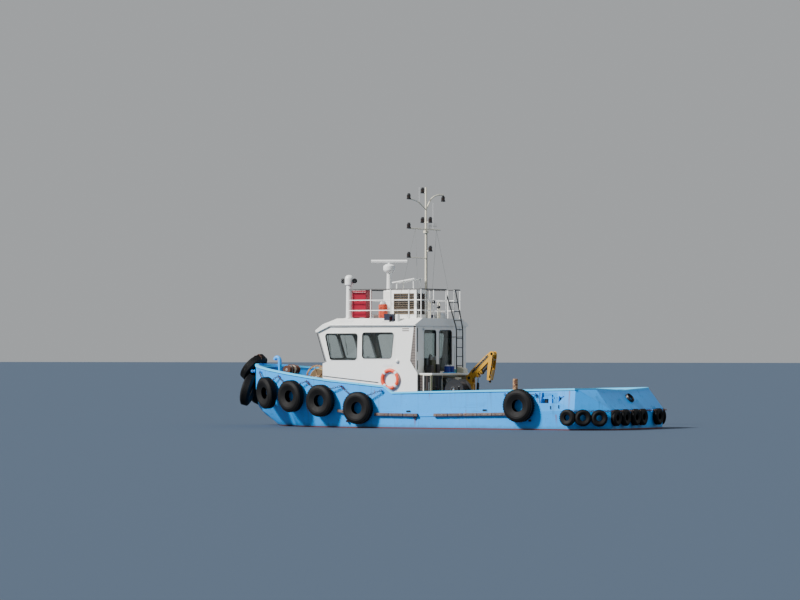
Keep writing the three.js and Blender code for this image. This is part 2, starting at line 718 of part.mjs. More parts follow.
function radarPedestal() {
  const { x, y } = RADAR;
  const foot = ROOF.top + GAP;
  return union([
    box([x - 230, x + 230], [y - 200, y + 200], [foot, 3800]),
    box([x - 150, x + 150], [y - 150, y + 150], [3790, 4560]),
    rod([x, y, 4550], [x, y, 5140], 90, 10, 60),
    rod([x, y, 5130], [x, y, 5240], 100, 12, 190),
    rod([x, y, 5239], [x, y, 5400], 200, 12, 190),
    rod([x, y, 5399], [x, y, 5450], 180, 12, 110),
  ]);
}

// The scanner bar stands at rest turned from square across the boat.
function radarScanner() {
  const bar = prism([
    [-45, 5490], [45, 5490], [55, 5560], [0, 5600], [-55, 5560],
  ], 'y', [-RADAR.bar, RADAR.bar]);
  return rod([0, 0, 5450 + GAP], [0, 0, 5500], 60, 8).add(bar)
    .rotate([0, 0, RADAR.turned]).translate([RADAR.x, RADAR.y, 0]);
}

// Post forward on the roof, with a domed head and a lamp on each side.
function domePost() {
  const [x, y] = [2850, 900];
  return union([
    rod([x, y, ROOF.top + GAP], [x, y, 4750], 110, 10, 90),
    rod([x, y, 4740], [x, y, 4950], 150, 12),
    rod([x, y, 4949], [x, y, 5080], 150, 12, 80),
    ...[-1, 1].map((side) => union([
      rod([x, y, 4800], [x + side * 210, y, 4870], 20),
      rod([x + side * 170, y - 60, 4880], [x + side * 250, y + 60, 4880], 85, 10),
    ])),
  ]);
}

function roofLocker() {
  return box([2050, 2590], [750, 1150], [ROOF.top + GAP, 4550]);
}

function roofBuoy() {
  const [x, y] = [1560, 850];
  return union([
    rod([x, y, ROOF.top + GAP], [x, y, 4090], 150, 12),
    rod([x, y, 4080], [x, y, 4200], 110, 12, 60),
  ]);
}

// Lamps on the mast. Columns: x, y, height of the base.
const MAST_LAMPS = [
  [530, 0, 7800], [530, 0, 6810], [230, 0, 6810], [230, 0, 5850],
  [400, 1130, 7560], [400, 1130, 6590], [400, 1130, 5620], [400, -1150, 7560],
];

function mast() {
  const { x, radius, top, arm } = MAST;
  const foot = ROOF.top + GAP;
  const parts = [
    rod([x, 0, foot], [x, 0, top], radius, 10, radius * 0.7),
    rod([x, 0, foot], [x, 0, foot + 20], 90, 10),
    rod([x, -950, arm], [x, 1130, arm], 22),
    rod([x, 0, arm - 130], [x, 0, arm - 50], 90, 8),
    rod([x, 0, 5630], [x, 1130, 5630], 16),
    rods([[x, 1130, 7570], [x, 900, 7560], [x, 480, 7480], [x, 0, 7250]], 20),
    rods([[x, 0, 7250], [x, -350, 7620], [x, -750, 7760], [x, -1150, 7790]], 22),
    rod([x, -1150, 7550], [x, -1150, 7800], 16),
  ];
  for (const [lx, ly, lz] of MAST_LAMPS) {
    parts.push(rod([lx, ly, lz], [lx, ly, lz + 130], 75, 6, 70));
    parts.push(rod([lx, ly, lz + 129], [lx, ly, lz + 200], 50, 6));
    if (ly === 0) {
      parts.push(rod([x, 0, lz + 30], [lx, ly, lz + 30], 20, 4));
    }
  }
  // Main stays down to the roof.
  for (const side of [-1, 1]) {
    for (const reach of [500, -400]) {
      const [sx, sy] = [x + reach, side * 1150];
      parts.push(rod([x, side * 700, arm], [sx, sy, foot + 6], 9, 4));
      parts.push(box([sx - 40, sx + 40], [sy - 30, sy + 30], [foot, foot + 12]));
    }
  }
  return union(parts);
}

// Crane: bolted foot, slewing column, lifting boom and hanging outer boom.
function craneFoot() {
  const { x, y, turn } = CRANE;
  const outline = [...deckLine(x - 280, x + 280), [x + 280, 640], [x - 280, 640]];
  const base = prism(outline, 'y', [y - 280, y + 280]);
  return base.add(rod([x, y, 600], [x, y, turn], 170, 12));
}

// The column carries the boom between two cheeks and the lift cylinder between two ears.
function craneColumn() {
  const { x, y, turn, pivotZ } = CRANE;
  const [fx, fz] = LIFT_FOOT;
  const cheek = (side) => prism([
    [x - 130, turn + 300], [x + 130, turn + 300], [x + 100, pivotZ + 90], [x - 100, pivotZ + 90],
  ], 'y', side > 0 ? [y + 90, y + 115] : [y - 115, y - 90]);
  const ear = (side) => prism([
    [x, fz - 90], [fx - 40, fz - 60], [fx - 55, fz + 40], [fx + 20, fz + 80], [x, fz + 200],
  ], 'y', side > 0 ? [y + 55, y + 75] : [y - 75, y - 55]);
  return union([
    rod([x, y, turn + GAP], [x, y, 1480], 150, 12),
    cheek(1), cheek(-1), ear(1), ear(-1),
    rod([x, y - 140, pivotZ], [x, y + 140, pivotZ], PIVOT_PIN, 10),
    rod([fx, y - 85, fz], [fx, y + 85, fz], LIFT.pin, 10),
  ]);
}

function craneBoom() {
  const outline = [
    [-60, 100], [-90, 0], [-60, -80], [120, -95], [900, -95], [1200, -75], [1240, 20],
    [1190, 100], [900, 130], [250, 140],
  ];
  const lug = ([u, w]) => union([-1, 1].map((side) => prism(
    [[u - 70, -90], [u - 35, w - 40], [u + 35, w - 40], [u + 70, -90]].map(([d, o]) => onBoom(d, o)),
    'y', side > 0 ? [CRANE.y + 50, CRANE.y + 68] : [CRANE.y - 68, CRANE.y - 50],
  )));
  const [cx, cz] = FOLD_FOOT;
  const hole = ([x, z], pin) => bore([x, CRANE.y - 200, z], [x, CRANE.y + 200, z], pin, 10);
  return union([
    prism(outline.map(([d, o]) => onBoom(d, o)), 'y', [CRANE.y - 80, CRANE.y + 80]),
    lug(LIFT.eye), lug(FOLD.foot),
    rod([cx, CRANE.y - 75, cz], [cx, CRANE.y + 75, cz], FOLD.pin, 10),
  ]).subtract(hole(onBoom(0, 0), PIVOT_PIN)).subtract(hole(TIP, TIP_PIN));
}

// The outer boom's plates straddle the lifting boom at the tip, with a box between them below.
function craneOuter() {
  const at = (s, o) => onBoom(
    CRANE.boom + s * Math.cos(OUTER.angle) - o * Math.sin(OUTER.angle),
    s * Math.sin(OUTER.angle) + o * Math.cos(OUTER.angle),
  );
  const outline = [
    [-90, 20], [-70, -60], [60, -100], [520, -85], [OUTER.length, -55], [OUTER.length, 60],
    [500, 95], [60, 95], [-60, 70],
  ].map(([s, o]) => at(s, o));
  const web = [
    [520, -70], [OUTER.length - 20, -50], [OUTER.length - 20, 50], [520, 80],
  ].map(([s, o]) => at(s, o));
  const [hx, hz] = at(OUTER.length - 60, 0);
  return union([
    prism(outline, 'y', [CRANE.y + 88, CRANE.y + 108]),
    prism(outline, 'y', [CRANE.y - 108, CRANE.y - 88]),
    prism(web, 'y', [CRANE.y - 90, CRANE.y + 90]),
    rod([TIP[0], CRANE.y - 120, TIP[1]], [TIP[0], CRANE.y + 120, TIP[1]], TIP_PIN, 10),
    rod([hx, CRANE.y, hz], [hx, CRANE.y, hz - 150], 26, 8),
  ]);
}

// A cylinder's barrel is bored, with a gland at its open end in which the rod slides.
function barrel([x0, z0], [x1, z1], size) {
  const length = Math.hypot(x1 - x0, z1 - z0);
  const at = (s) => [x0 + (x1 - x0) * s / length, CRANE.y, z0 + (z1 - z0) * s / length];
  const eye = rod([x0, CRANE.y - 40, z0], [x0, CRANE.y + 40, z0], 34, 10);
  const pinHole = bore([x0, CRANE.y - 60, z0], [x0, CRANE.y + 60, z0], size.pin, 10);
  const inside = rod(at(60), at(size.barrelLength - 40), size.bore, 12);
  const gland = rod(at(100), at(size.barrelLength + 50), size.rodRadius + GAP, 12);
  return rod(at(0), at(size.barrelLength), size.radius, 12)
    .subtract(inside).subtract(gland).add(eye).subtract(pinHole);
}

function cylinderRod([x0, z0], [x1, z1], { rodLength, rodRadius }) {
  const length = Math.hypot(x1 - x0, z1 - z0);
  const at = (s) => [x0 + (x1 - x0) * s / length, CRANE.y, z0 + (z1 - z0) * s / length];
  return rod(at(length - rodLength), at(length), rodRadius, 12)
    .add(rod([x1, CRANE.y - 30, z1], [x1, CRANE.y + 30, z1], 28, 10));
}

// Tow winch across the deck: side plates and motor, with the drum on its own shaft.
function winchFrame() {
  const [x, z] = [WINCH.x, WINCH.z];
  const foot = deckZ(x);
  const plate = (y) => prism([
    ...deckLine(x - 250, x + 250), [x + 180, z + 120], [x - 180, z + 120],
  ], 'y', [y, y + 40]);
  const outline = [...deckLine(x - 250, x + 250), [x + 250, foot + 90], [x - 250, foot + 90]];
  const base = prism(outline, 'y', WINCH.y);
  return union([plate(WINCH.y[0]), plate(WINCH.y[1] - 40), base])
    .subtract(bore([x, 700, z], [x, 1700, z], WINCH.shaft, 12))
    .add(box([x - 150, x + 150], [WINCH.y[0] - 180, WINCH.y[0] + 1], [z - 420, z - 60]));
}

function winchDrum() {
  const [x, z] = [WINCH.x, WINCH.z];
  const [y0, y1] = [WINCH.y[0] + 40, WINCH.y[1] - 40];
  return union([
    rod([x, y0 - 35, z], [x, y1 + 35, z], WINCH.shaft, 12),
    rod([x, y0 + 8, z], [x, y0 + 30, z], WINCH.flange, 16),
    rod([x, y1 - 30, z], [x, y1 - 8, z], WINCH.flange, 16),
    rod([x, y0 + 20, z], [x, y1 - 20, z], WINCH.drum, 16),
  ]);
}

// Tow post with a horn to each side.
function towBitt() {
  const { x, radius, top, horn, hornZ } = BITT;
  const foot = deckZ(x) + GAP;
  const outline = [...deckLine(x - 220, x + 220), [x + 220, foot + 40], [x - 220, foot + 40]];
  return union([
    rod([x, 0, foot + 20], [x, 0, top], radius, 12),
    rod([x, -horn, hornZ], [x, horn, hornZ], 60, 10),
    prism(outline, 'y', [-220, 220]),
  ]);
}

// Vent post with a bent head on the foredeck.
function bowPost() {
  const x = 6180;
  const foot = deckZ(x);
  const pipe = [[x, foot + 20], [x, 2180], [x + 30, 2290], [x + 130, 2320], [x + 200, 2240]];
  const flange = [...deckLine(x - 120, x + 120), [x + 120, foot + 30], [x - 120, foot + 30]];
  return rods(pipe.map(([px, pz]) => [px, 0, pz]), 60, 8).add(prism(flange, 'y', [-120, 120]));
}

function windlass() {
  const x = 5700;
  const foot = deckZ(x);
  const outline = [...deckLine(x - 230, x + 230), [x + 230, foot + 60], [x - 230, foot + 60]];
  return union([
    prism(outline, 'y', [-320, 320]),
    box([x - 130, x + 130], [-170, -110], [foot + 50, 2060]),
    box([x - 130, x + 130], [110, 170], [foot + 50, 2060]),
    rod([x, -340, 1900], [x, 340, 1900], 70, 10),
    rod([x, -110, 1900], [x, 110, 1900], 180, 12),
    rod([x, 200, 1900], [x, 330, 1900], 130, 10, 150),
    rod([x, -330, 1900], [x, -200, 1900], 150, 10, 130),
  ]);
}

// Reel of hawser on its stand ahead of the wheelhouse.
function ropeReel() {
  const [x, y, z] = [4150, 550, 1620];
  const outline = [...deckLine(x - 300, x + 300), [x + 300, 990], [x - 300, 990]];
  const foot = prism(outline, 'y', [y - 380, y + 380]);
  const leg = (from) => prism([
    [x - 220, 960], [x + 220, 960], [x + 50, z + 60], [x - 50, z + 60],
  ], 'y', [from, from + 40]);
  return union([
    foot, leg(y + 330), leg(y - 370),
    rod([x, y - 340, z], [x, y + 340, z], 40, 8),
    rod([x, y - 300, z], [x, y - 270, z], 450, 16),
    rod([x, y + 270, z], [x, y + 300, z], 450, 16),
    rod([x, y - 280, z], [x, y + 280, z], 330, 16),
  ]);
}

// Two deck boxes on the casing top.
function casingBoxes() {
  const z = CASING.top + GAP;
  return union([
    box([-700, -480], [-80, 420], [z, z + 190]),
    box([-690, -490], [-60, 150], [z + 180, z + 270]),
    box([-690, -490], [190, 400], [z + 180, z + 270]),
  ]);
}

function lifebuoy() {
  const facing = [0, 1, 0];
  const ring = tyre([760, HOUSE.half + 52, 1600], facing, { outer: 360, inner: 230, width: 100 });
  const bracket = box([560, 960], [HOUSE.half + GAP, HOUSE.half + 30], [1300, 1340]);
  const peg = box([730, 790], [HOUSE.half + GAP, HOUSE.half + 60], [1310, 1400]);
  return union([ring, bracket, peg]);
}

// Shaft and its bracket under the quarter.
function shaftLine() {
  const strut = prism([
    [SHAFT.to, -300], [SHAFT.to + 160, -300], [SHAFT.to + 140, SHAFT.z], [SHAFT.to, SHAFT.z],
  ], 'y', [SHAFT.y - 22, SHAFT.y + 22]).subtract(hullBody(GAP));
  return union([
    rod([SHAFT.from - GAP, SHAFT.y, SHAFT.z], [SHAFT.to, SHAFT.y, SHAFT.z], SHAFT.radius, 10),
    rod([SHAFT.to + 180, SHAFT.y, SHAFT.z], [SHAFT.to, SHAFT.y, SHAFT.z], 85, 12),
    strut,
  ]);
}

function propeller() {
  const start = SHAFT.to - GAP;
  const end = start - SCREW.length;
  const middle = (start + end) / 2;
  const blade = [
    [-70, 60], [70, 60], [150, 200], [150, 310], [60, SCREW.radius], [-90, SCREW.radius - 10],
    [-150, 290], [-140, 170],
  ];
  const parts = [
    rod([start, SHAFT.y, SHAFT.z], [end, SHAFT.y, SHAFT.z], SCREW.hub, 12, 70),
    rod([end + 1, SHAFT.y, SHAFT.z], [end - 60, SHAFT.y, SHAFT.z], 55, 10, 20),
  ];
  for (let i = 0; i < SCREW.blades; i++) {
    const shape = new THREE.Shape(blade.map(([a, r]) => new THREE.Vector2(a, r)));
    const body = new THREE.ExtrudeGeometry(shape, { depth: 18, bevelEnabled: false });
    body.translate(0, 0, -9);
    body.rotateY(Math.PI * 0.3);
    body.rotateX(Math.PI / 2 + i * 2 * Math.PI / SCREW.blades + Math.PI / 4);
    body.translate(middle, SHAFT.y, SHAFT.z);
    parts.push(solid(body));
  }
  return union(parts);
}

function rudder() {
  const { x, top, bottom, ahead, astern, thick } = RUDDER;
  const y = SHAFT.y;
  const outline = [
    [x + ahead, y], [x + ahead - 80, y + thick / 2], [x - 60, y + thick / 2], [x - astern, y + 6],
    [x - astern, y - 6], [x - 60, y - thick / 2], [x + ahead - 80, y - thick / 2],
  ];
  return union([
    prism(outline, 'z', [bottom, top - 60]),
    rod([x, y, top - 100], [x, y, top - GAP], 48, 10),
  ]);
}

// Every piece: name, solid, finish.
const nearHull = [
  hullBody(GAP), bulwarkBow(GAP), bulwarkPort(GAP), mirrored(bulwarkPort(GAP)), bulwarkStern(GAP),
];
const clearOfHull = (body) => nearHull.reduce((left, part) => left.subtract(part), body);
const largest = (body) => body.decompose().sort((a, b) => b.volume() - a.volume())[0];

const bothSides = (name, body, finish) => [
  [`${name}_port`, body, finish],
  [`${name}_starboard`, mirrored(body), finish],
];

const PIECES = [
  ['hull', hull(), 'hull'],
  ['bulwark_bow', bulwarkBow(), 'hull'],
  ...bothSides('bulwark', bulwarkPort(), 'hull'),
  ['bulwark_stern', bulwarkStern(), 'hull'],
  ...bothSides('belting', belting(), 'belting'),
  ...bothSides('shaft', shaftLine(), 'steel'),
  ...bothSides('propeller', propeller(), 'bronze'),
  ...bothSides('rudder', rudder(), 'hull'),
  ['house_front', houseFront(), 'white'],
  ['house_port', houseSide(false), 'white'],
  ['house_starboard', mirrored(houseSide(true)), 'white'],
  ['house_aft', houseAft(), 'white'],
  ['house_roof', houseRoof(), 'white'],
  ['house_floor', houseFloor(), 'grey'],
  ['glass_front', glassFront(), 'glass'],
  ...bothSides('glass', glassSide(), 'glass'),
  ['glass_aft', glassAft(), 'glass'],
  ['door_starboard', mirrored(door()), 'white'],
  ['helm_console', helmConsole(), 'grey'],
  ['helm_seat', helmSeat(), 'black'],
  ['aft_casing', aftCasing(), 'white'],
  ['casing_boxes', casingBoxes(), 'hull'],
  ['roof_rail', roofRail(), 'white'],
  ['roof_ladder', roofLadder(), 'black'],
  ['vent_housing', ventHousing(), 'white'],
  ['radar_pedestal', radarPedestal(), 'white'],
  ['radar_scanner', radarScanner(), 'white'],
  ['dome_post', domePost(), 'white'],
  ['roof_locker', roofLocker(), 'red'],
  ['roof_buoy', roofBuoy(), 'orange'],
  ['mast', mast(), 'cream'],
  ['crane_foot', craneFoot(), 'black'],
  ['crane_column', craneColumn(), 'black'],
  ['crane_boom', craneBoom(), 'yellow'],
  ['crane_outer', craneOuter(), 'yellow'],
  ['lift_cylinder', barrel(LIFT_FOOT, LIFT_EYE, LIFT), 'black'],
  ['lift_rod', cylinderRod(LIFT_FOOT, LIFT_EYE, LIFT), 'steel'],
  ['fold_cylinder', barrel(FOLD_FOOT, FOLD_EYE, FOLD), 'yellow'],
  ['fold_rod', cylinderRod(FOLD_FOOT, FOLD_EYE, FOLD), 'steel'],
  ['winch_frame', winchFrame(), 'black'],
  ['winch_drum', winchDrum(), 'black'],
  ['tow_bitt', towBitt(), 'cream'],
  ['bow_post', bowPost(), 'hull'],
  ['windlass', windlass(), 'rust'],
  ['rope_reel', ropeReel(), 'rope'],
  ['lifebuoy', lifebuoy(), 'red'],
  ...bothSides('tyres_forward', largest(clearOfHull(sideTyres())), 'rubber'),
  ...bothSides('tyre_aft', largest(clearOfHull(aftTyre())), 'rubber'),
  ['tyres_stem', largest(clearOfHull(stemTyres())), 'rubber'],
  ['tyres_stern', largest(clearOfHull(sternTyres())), 'rubber'],
];

// A solid as a named mesh with its own material.
function part(name, body, [colour, roughness, metalness = 0]) {
  const mesh = body.getMesh();
  const geometry = new THREE.BufferGeometry();
  geometry.setAttribute('position', new THREE.BufferAttribute(mesh.vertProperties, 3));
  geometry.setIndex(new THREE.BufferAttribute(mesh.triVerts, 1));
  geometry.computeVertexNormals();
  const material = new THREE.MeshStandardMaterial({ color: colour, roughness, metalness });
  const piece = new THREE.Mesh(geometry, material);
  piece.name = name;
  return piece;
}

const tug = new THREE.Group();
for (const [name, body, finish] of PIECES) {
  tug.add(part(name, body, PAINT[finish]));
}

export default tug;
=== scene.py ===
import json
import math

import bmesh
import bpy
from mathutils import Matrix, Vector


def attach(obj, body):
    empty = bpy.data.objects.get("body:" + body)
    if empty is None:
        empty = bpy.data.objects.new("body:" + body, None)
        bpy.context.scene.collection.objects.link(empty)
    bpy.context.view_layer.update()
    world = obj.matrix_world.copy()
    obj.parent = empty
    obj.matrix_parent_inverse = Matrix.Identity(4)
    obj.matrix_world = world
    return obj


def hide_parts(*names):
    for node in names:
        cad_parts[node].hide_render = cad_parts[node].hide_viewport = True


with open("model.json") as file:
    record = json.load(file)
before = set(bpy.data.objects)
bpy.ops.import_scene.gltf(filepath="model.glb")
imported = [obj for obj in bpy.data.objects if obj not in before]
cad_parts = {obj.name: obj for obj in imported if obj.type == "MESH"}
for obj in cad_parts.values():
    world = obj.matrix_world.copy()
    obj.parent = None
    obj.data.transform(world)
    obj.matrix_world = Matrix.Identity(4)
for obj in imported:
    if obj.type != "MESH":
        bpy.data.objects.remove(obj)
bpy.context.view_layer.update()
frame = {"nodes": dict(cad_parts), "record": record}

# Metres, +X to the bow, +Y to port, +Z up, the waterline at Z = 0.
TAU = 2 * math.pi
AHEAD, AFT, PORT, STARBOARD = (1, 0, 0), (-1, 0, 0), (0, 1, 0), (0, -1, 0)
UP, DOWN = (0, 0, 1), (0, 0, -1)
NODES = frame["nodes"]
SCENE = bpy.context.scene

# Camera: far off the port quarter, near the water, with a long lens.
EYE = Vector((-60.0, 103.9, 2.4))
LENS = 162.0
YAW = math.atan2(-EYE.y, -EYE.x) + math.radians(0.579)
PITCH = math.radians(0.875)


def link(obj):
    SCENE.collection.objects.link(obj)
    return obj


def aim(obj, direction):
    obj.rotation_euler = Vector(direction).to_track_quat("-Z", "Y").to_euler()


camera_data = bpy.data.cameras.new("camera")
camera_data.lens = LENS
camera_data.clip_end = 3000.0
camera = link(bpy.data.objects.new("camera", camera_data))
camera.location = EYE
aim(camera, (math.cos(PITCH) * math.cos(YAW), math.cos(PITCH) * math.sin(YAW), math.sin(PITCH)))
SCENE.camera = camera


def linear(red, green, blue):
    """A screen colour of 0 to 255 as the linear colour that shaders take."""
    parts = [c / 255.0 for c in (red, green, blue)]
    return tuple(c / 12.92 if c < 0.04045 else ((c + 0.055) / 1.055) ** 2.4 for c in parts) + (1.0,)


# ---- Node helpers

class Web:
    """Places and joins nodes in one node tree."""

    def __init__(self, tree):
        self.tree = tree

    def feed(self, socket, value):
        if isinstance(value, bpy.types.NodeSocket):
            self.tree.links.new(value, socket)
        else:
            socket.default_value = value

    def put(self, kind, inputs=None, **settings):
        node = self.tree.nodes.new(kind)
        for key, value in settings.items():
            setattr(node, key, value)
        for key, value in (inputs or {}).items():
            self.feed(node.inputs[key], value)
        return node

    def math(self, operation, a, b=0.0, clamp=False):
        return self.put("ShaderNodeMath", {0: a, 1: b}, operation=operation, use_clamp=clamp).outputs[0]

    def plus(self, a, b, clamp=False):
        return self.math("ADD", a, b, clamp)

    def minus(self, a, b):
        return self.math("SUBTRACT", a, b)

    def times(self, a, b, clamp=False):
        return self.math("MULTIPLY", a, b, clamp)

    def rest(self, value):
        return self.minus(1.0, value)

    def xyz(self, x, y, z):
        return self.put("ShaderNodeCombineXYZ", {"X": x, "Y": y, "Z": z}).outputs[0]

    def parts(self, vector):
        return self.put("ShaderNodeSeparateXYZ", {0: vector}).outputs

    def mix(self, factor, a, b):
        node = self.put("ShaderNodeMix", data_type="RGBA", blend_type="MIX")
        for index, value in ((0, factor), (6, a), (7, b)):
            self.feed(node.inputs[index], value)
        return node.outputs[2]

    def step(self, value, low, high):
        """0 below low, 1 above high, smooth between them."""
        node = self.put("ShaderNodeMapRange", {"Value": value, "From Min": low, "From Max": high},
            interpolation_type="SMOOTHSTEP")
        return node.outputs["Result"]

    def noise(self, vector, scale, detail=4.0, rough=0.55, seed=0.0):
        node = self.put("ShaderNodeTexNoise", {"Vector": vector, "W": seed, "Scale": scale, "Detail": detail,
            "Roughness": rough}, noise_dimensions="4D")
        return node.outputs["Fac"]


def shader_group(name, inputs, output, build):
    """A node group that takes a position and named values. build(web, ins) returns its output."""
    tree = bpy.data.node_groups.new(name, "ShaderNodeTree")
    for label, value in {"Position": None, **inputs}.items():
        kind = "NodeSocketVector" if value is None else "NodeSocketFloat"
        socket = tree.interface.new_socket(label, in_out="INPUT", socket_type=kind)
        if value is not None:
            socket.default_value = value
    tree.interface.new_socket(output, in_out="OUTPUT", socket_type="NodeSocketFloat")
    web = Web(tree)
    source = web.put("NodeGroupInput")
    result = build(web, {socket.name: socket for socket in source.outputs if socket.name})
    web.put("NodeGroupOutput", {output: result})
    return tree


def build_patches(web, ins):
    fac = web.noise(ins["Position"], ins["Scale"], 5.0, 0.6, ins["Seed"])
    low = web.minus(0.72, web.times(ins["Cover"], 0.44))
    return web.step(fac, low, web.plus(low, ins["Softness"]))


def build_streaks(web, ins):
    stretch = web.xyz(ins["Across"], ins["Across"], ins["Down"])
    place = web.put("ShaderNodeVectorMath", {0: ins["Position"], 1: stretch}, operation="MULTIPLY").outputs[0]
    fac = web.noise(place, 1.0, 3.0, 0.5, ins["Seed"])
    broad = web.noise(ins["Position"], 0.7, 2.0, 0.5, web.plus(ins["Seed"], 3.0))
    fac = web.plus(fac, web.times(web.minus(broad, 0.5), 0.35))
    low = web.minus(0.70, web.times(ins["Cover"], 0.30))
    return web.step(fac, low, web.plus(low, 0.16))


def build_weep(web, ins):
    parts = web.parts(ins["Position"])
    drop = web.minus(ins["Top"], parts["Z"])
    wobble = web.times(web.minus(web.noise(ins["Position"], 9.0, 2.0), 0.5), ins["Width"])
    away = web.math("ABSOLUTE", web.plus(web.minus(parts["X"], ins["Place"]), wobble))
    across = web.rest(web.step(away, 0.0, ins["Width"]))
    fade = web.rest(web.step(drop, 0.0, ins["Length"]))
    return web.times(web.times(across, fade), web.step(drop, -0.02, 0.01), clamp=True)


def build_relief(web, ins):
    grain = web.times(web.noise(ins["Position"], ins["Grain scale"], 3.0), ins["Grain"])
    dents = web.times(web.noise(ins["Position"], ins["Dent scale"], 1.0, 0.4, 5.0), ins["Dents"])
    return web.plus(grain, dents)


def build_seams(web, ins):
    turn = web.math("DIVIDE", web.minus(web.parts(ins["Position"])["X"], ins["Offset"]), ins["Pitch"])
    near = web.math("ABSOLUTE", web.minus(turn, web.math("ROUND", turn)))
    return web.rest(web.step(web.times(near, ins["Pitch"]), 0.0, ins["Width"]))


PATCHES = shader_group("patches", {"Scale": 2.0, "Cover": 0.3, "Softness": 0.1, "Seed": 0.0}, "Mask",
    build_patches)
STREAKS = shader_group("streaks", {"Across": 8.0, "Down": 0.6, "Cover": 0.3, "Seed": 0.0}, "Mask",
    build_streaks)
WEEP = shader_group("weep", {"Place": 0.0, "Top": 0.5, "Width": 0.05, "Length": 0.5}, "Mask", build_weep)
RELIEF = shader_group("relief", {"Grain scale": 60.0, "Grain": 0.1, "Dent scale": 3.0, "Dents": 0.3},
    "Height", build_relief)
SEAMS = shader_group("seams", {"Pitch": 2.0, "Offset": 0.0, "Width": 0.01}, "Mask", build_seams)


class Finish(Web):
    """A material under construction: its tree, its shader and the object's own coordinates."""

    def __init__(self, name):
        self.material = bpy.data.materials.new(name)
        self.material.use_nodes = True
        super().__init__(self.material.node_tree)
        self.shader = next(n for n in self.tree.nodes if n.type == "BSDF_PRINCIPLED")
        self.place = self.put("ShaderNodeTexCoord").outputs["Object"]

    def use(self, group, **values):
        named_values = {key.replace("_", " "): value for key, value in values.items()}
        return self.put("ShaderNodeGroup", {"Position": self.place, **named_values},
            node_tree=group).outputs[0]

    def set(self, **values):
        for key, value in values.items():
            self.feed(self.shader.inputs[key.replace("_", " ")], value)

    def bump(self, height, strength=0.3, distance=0.01):
        node = self.put("ShaderNodeBump", {"Height": height, "Strength": strength, "Distance": distance})
        self.feed(self.shader.inputs["Normal"], node.outputs["Normal"])


RUST = linear(126, 70, 38)
DARK_RUST = linear(72, 42, 28)


def paint(name, colour, rough=0.42, rust=0.12, streak=0.25, grime=0.4, dirt=(70, 66, 58), grain=0.25,
        extra=None):
    """Brushed paint on steel: faded patches, dirt that runs down, rust that breaks through."""
    finish = Finish(name)
    colour, dirt = linear(*colour), linear(*dirt)
    shade = tuple(c * 0.72 for c in colour[:3]) + (1.0,)
    faded = tuple(min(1.0, c * 1.10 + 0.008) for c in colour[:3]) + (1.0,)
    tint = finish.mix(finish.use(PATCHES, Scale=1.1, Cover=0.5, Softness=0.3), colour, faded)
    grimy = finish.use(PATCHES, Scale=2.6, Cover=grime, Softness=0.28, Seed=4.0)
    tint = finish.mix(finish.times(grimy, 0.45), tint, shade)
    runs = finish.use(STREAKS, Across=7.0, Down=0.55, Cover=streak)
    tint = finish.mix(finish.times(runs, 0.30), tint, dirt)
    chips = finish.use(PATCHES, Scale=9.0, Cover=rust, Softness=0.05, Seed=9.0)
    spots = finish.use(PATCHES, Scale=34.0, Cover=rust * 1.2, Softness=0.04, Seed=2.0)
    broken = finish.math("MAXIMUM", chips, spots)
    rusty = finish.mix(finish.use(PATCHES, Scale=40.0, Cover=0.6, Softness=0.2), DARK_RUST, RUST)
    tint = finish.mix(broken, tint, rusty)
    gloss = finish.plus(rough, finish.times(finish.math("MAXIMUM", broken, runs), 0.3), clamp=True)
    height = finish.use(RELIEF, Grain_scale=90.0, Grain=grain * 0.2, Dent_scale=2.4, Dents=0.7)
    height = finish.minus(height, finish.times(broken, 0.12))
    if extra:
        tint, gloss, height = extra(finish, tint, gloss, height)
    finish.set(Base_Color=tint, Roughness=gloss, Metallic=0.0)
    finish.bump(height, 0.55, 0.012)
    return finish.material


# Places along the hull where water has run and left rust: x, top, half width, length.
WEEPS = [
    (-6.36, 1.26, 0.045, 0.95), (-1.24, 1.16, 0.02, 0.28), (-5.89, 0.50, 0.05, 0.45),
    (-6.20, 0.55, 0.06, 0.5), (-0.68, 0.30, 0.06, 0.32), (-5.23, 1.12, 0.03, 0.45),
    (-4.28, 1.12, 0.03, 0.45), (-2.60, 0.62, 0.03, 0.38), (1.95, 0.55, 0.05, 0.42), (3.60, 0.72, 0.04, 0.5),
    (4.90, 0.85, 0.05, 0.6), (5.85, 0.95, 0.04, 0.7), (0.85, 1.25, 0.03, 0.35),
]


def hull_layers(finish, tint, gloss, height):
    """What only the hull has: weeping rust, a fouled waterline, plate seams and scuffs at the belting."""
    level = finish.parts(finish.place)["Z"]
    for x, top, width, length in WEEPS:
        mark = finish.use(WEEP, Place=x, Top=top, Width=width, Length=length)
        tint = finish.mix(finish.times(mark, 0.75), tint, RUST)
    edge = finish.plus(level, finish.times(finish.noise(finish.place, 5.0, 4.0), 0.22))
    fouled = finish.rest(finish.step(edge, 0.12, 0.28))
    tint = finish.mix(finish.times(fouled, 0.55), tint, linear(62, 104, 116))
    scuffs = finish.use(STREAKS, Across=0.8, Down=26.0, Cover=0.42, Seed=6.0)
    band = finish.times(finish.step(level, 0.30, 0.40), finish.rest(finish.step(level, 0.72, 0.9)))
    tint = finish.mix(finish.times(finish.times(scuffs, band), 0.5), tint, linear(48, 72, 86))
    seam = finish.use(SEAMS, Pitch=1.79, Offset=-0.81, Width=0.012)
    tint = finish.mix(finish.times(seam, 0.35), tint, linear(44, 92, 122))
    return tint, gloss, finish.plus(height, finish.times(seam, 0.35))


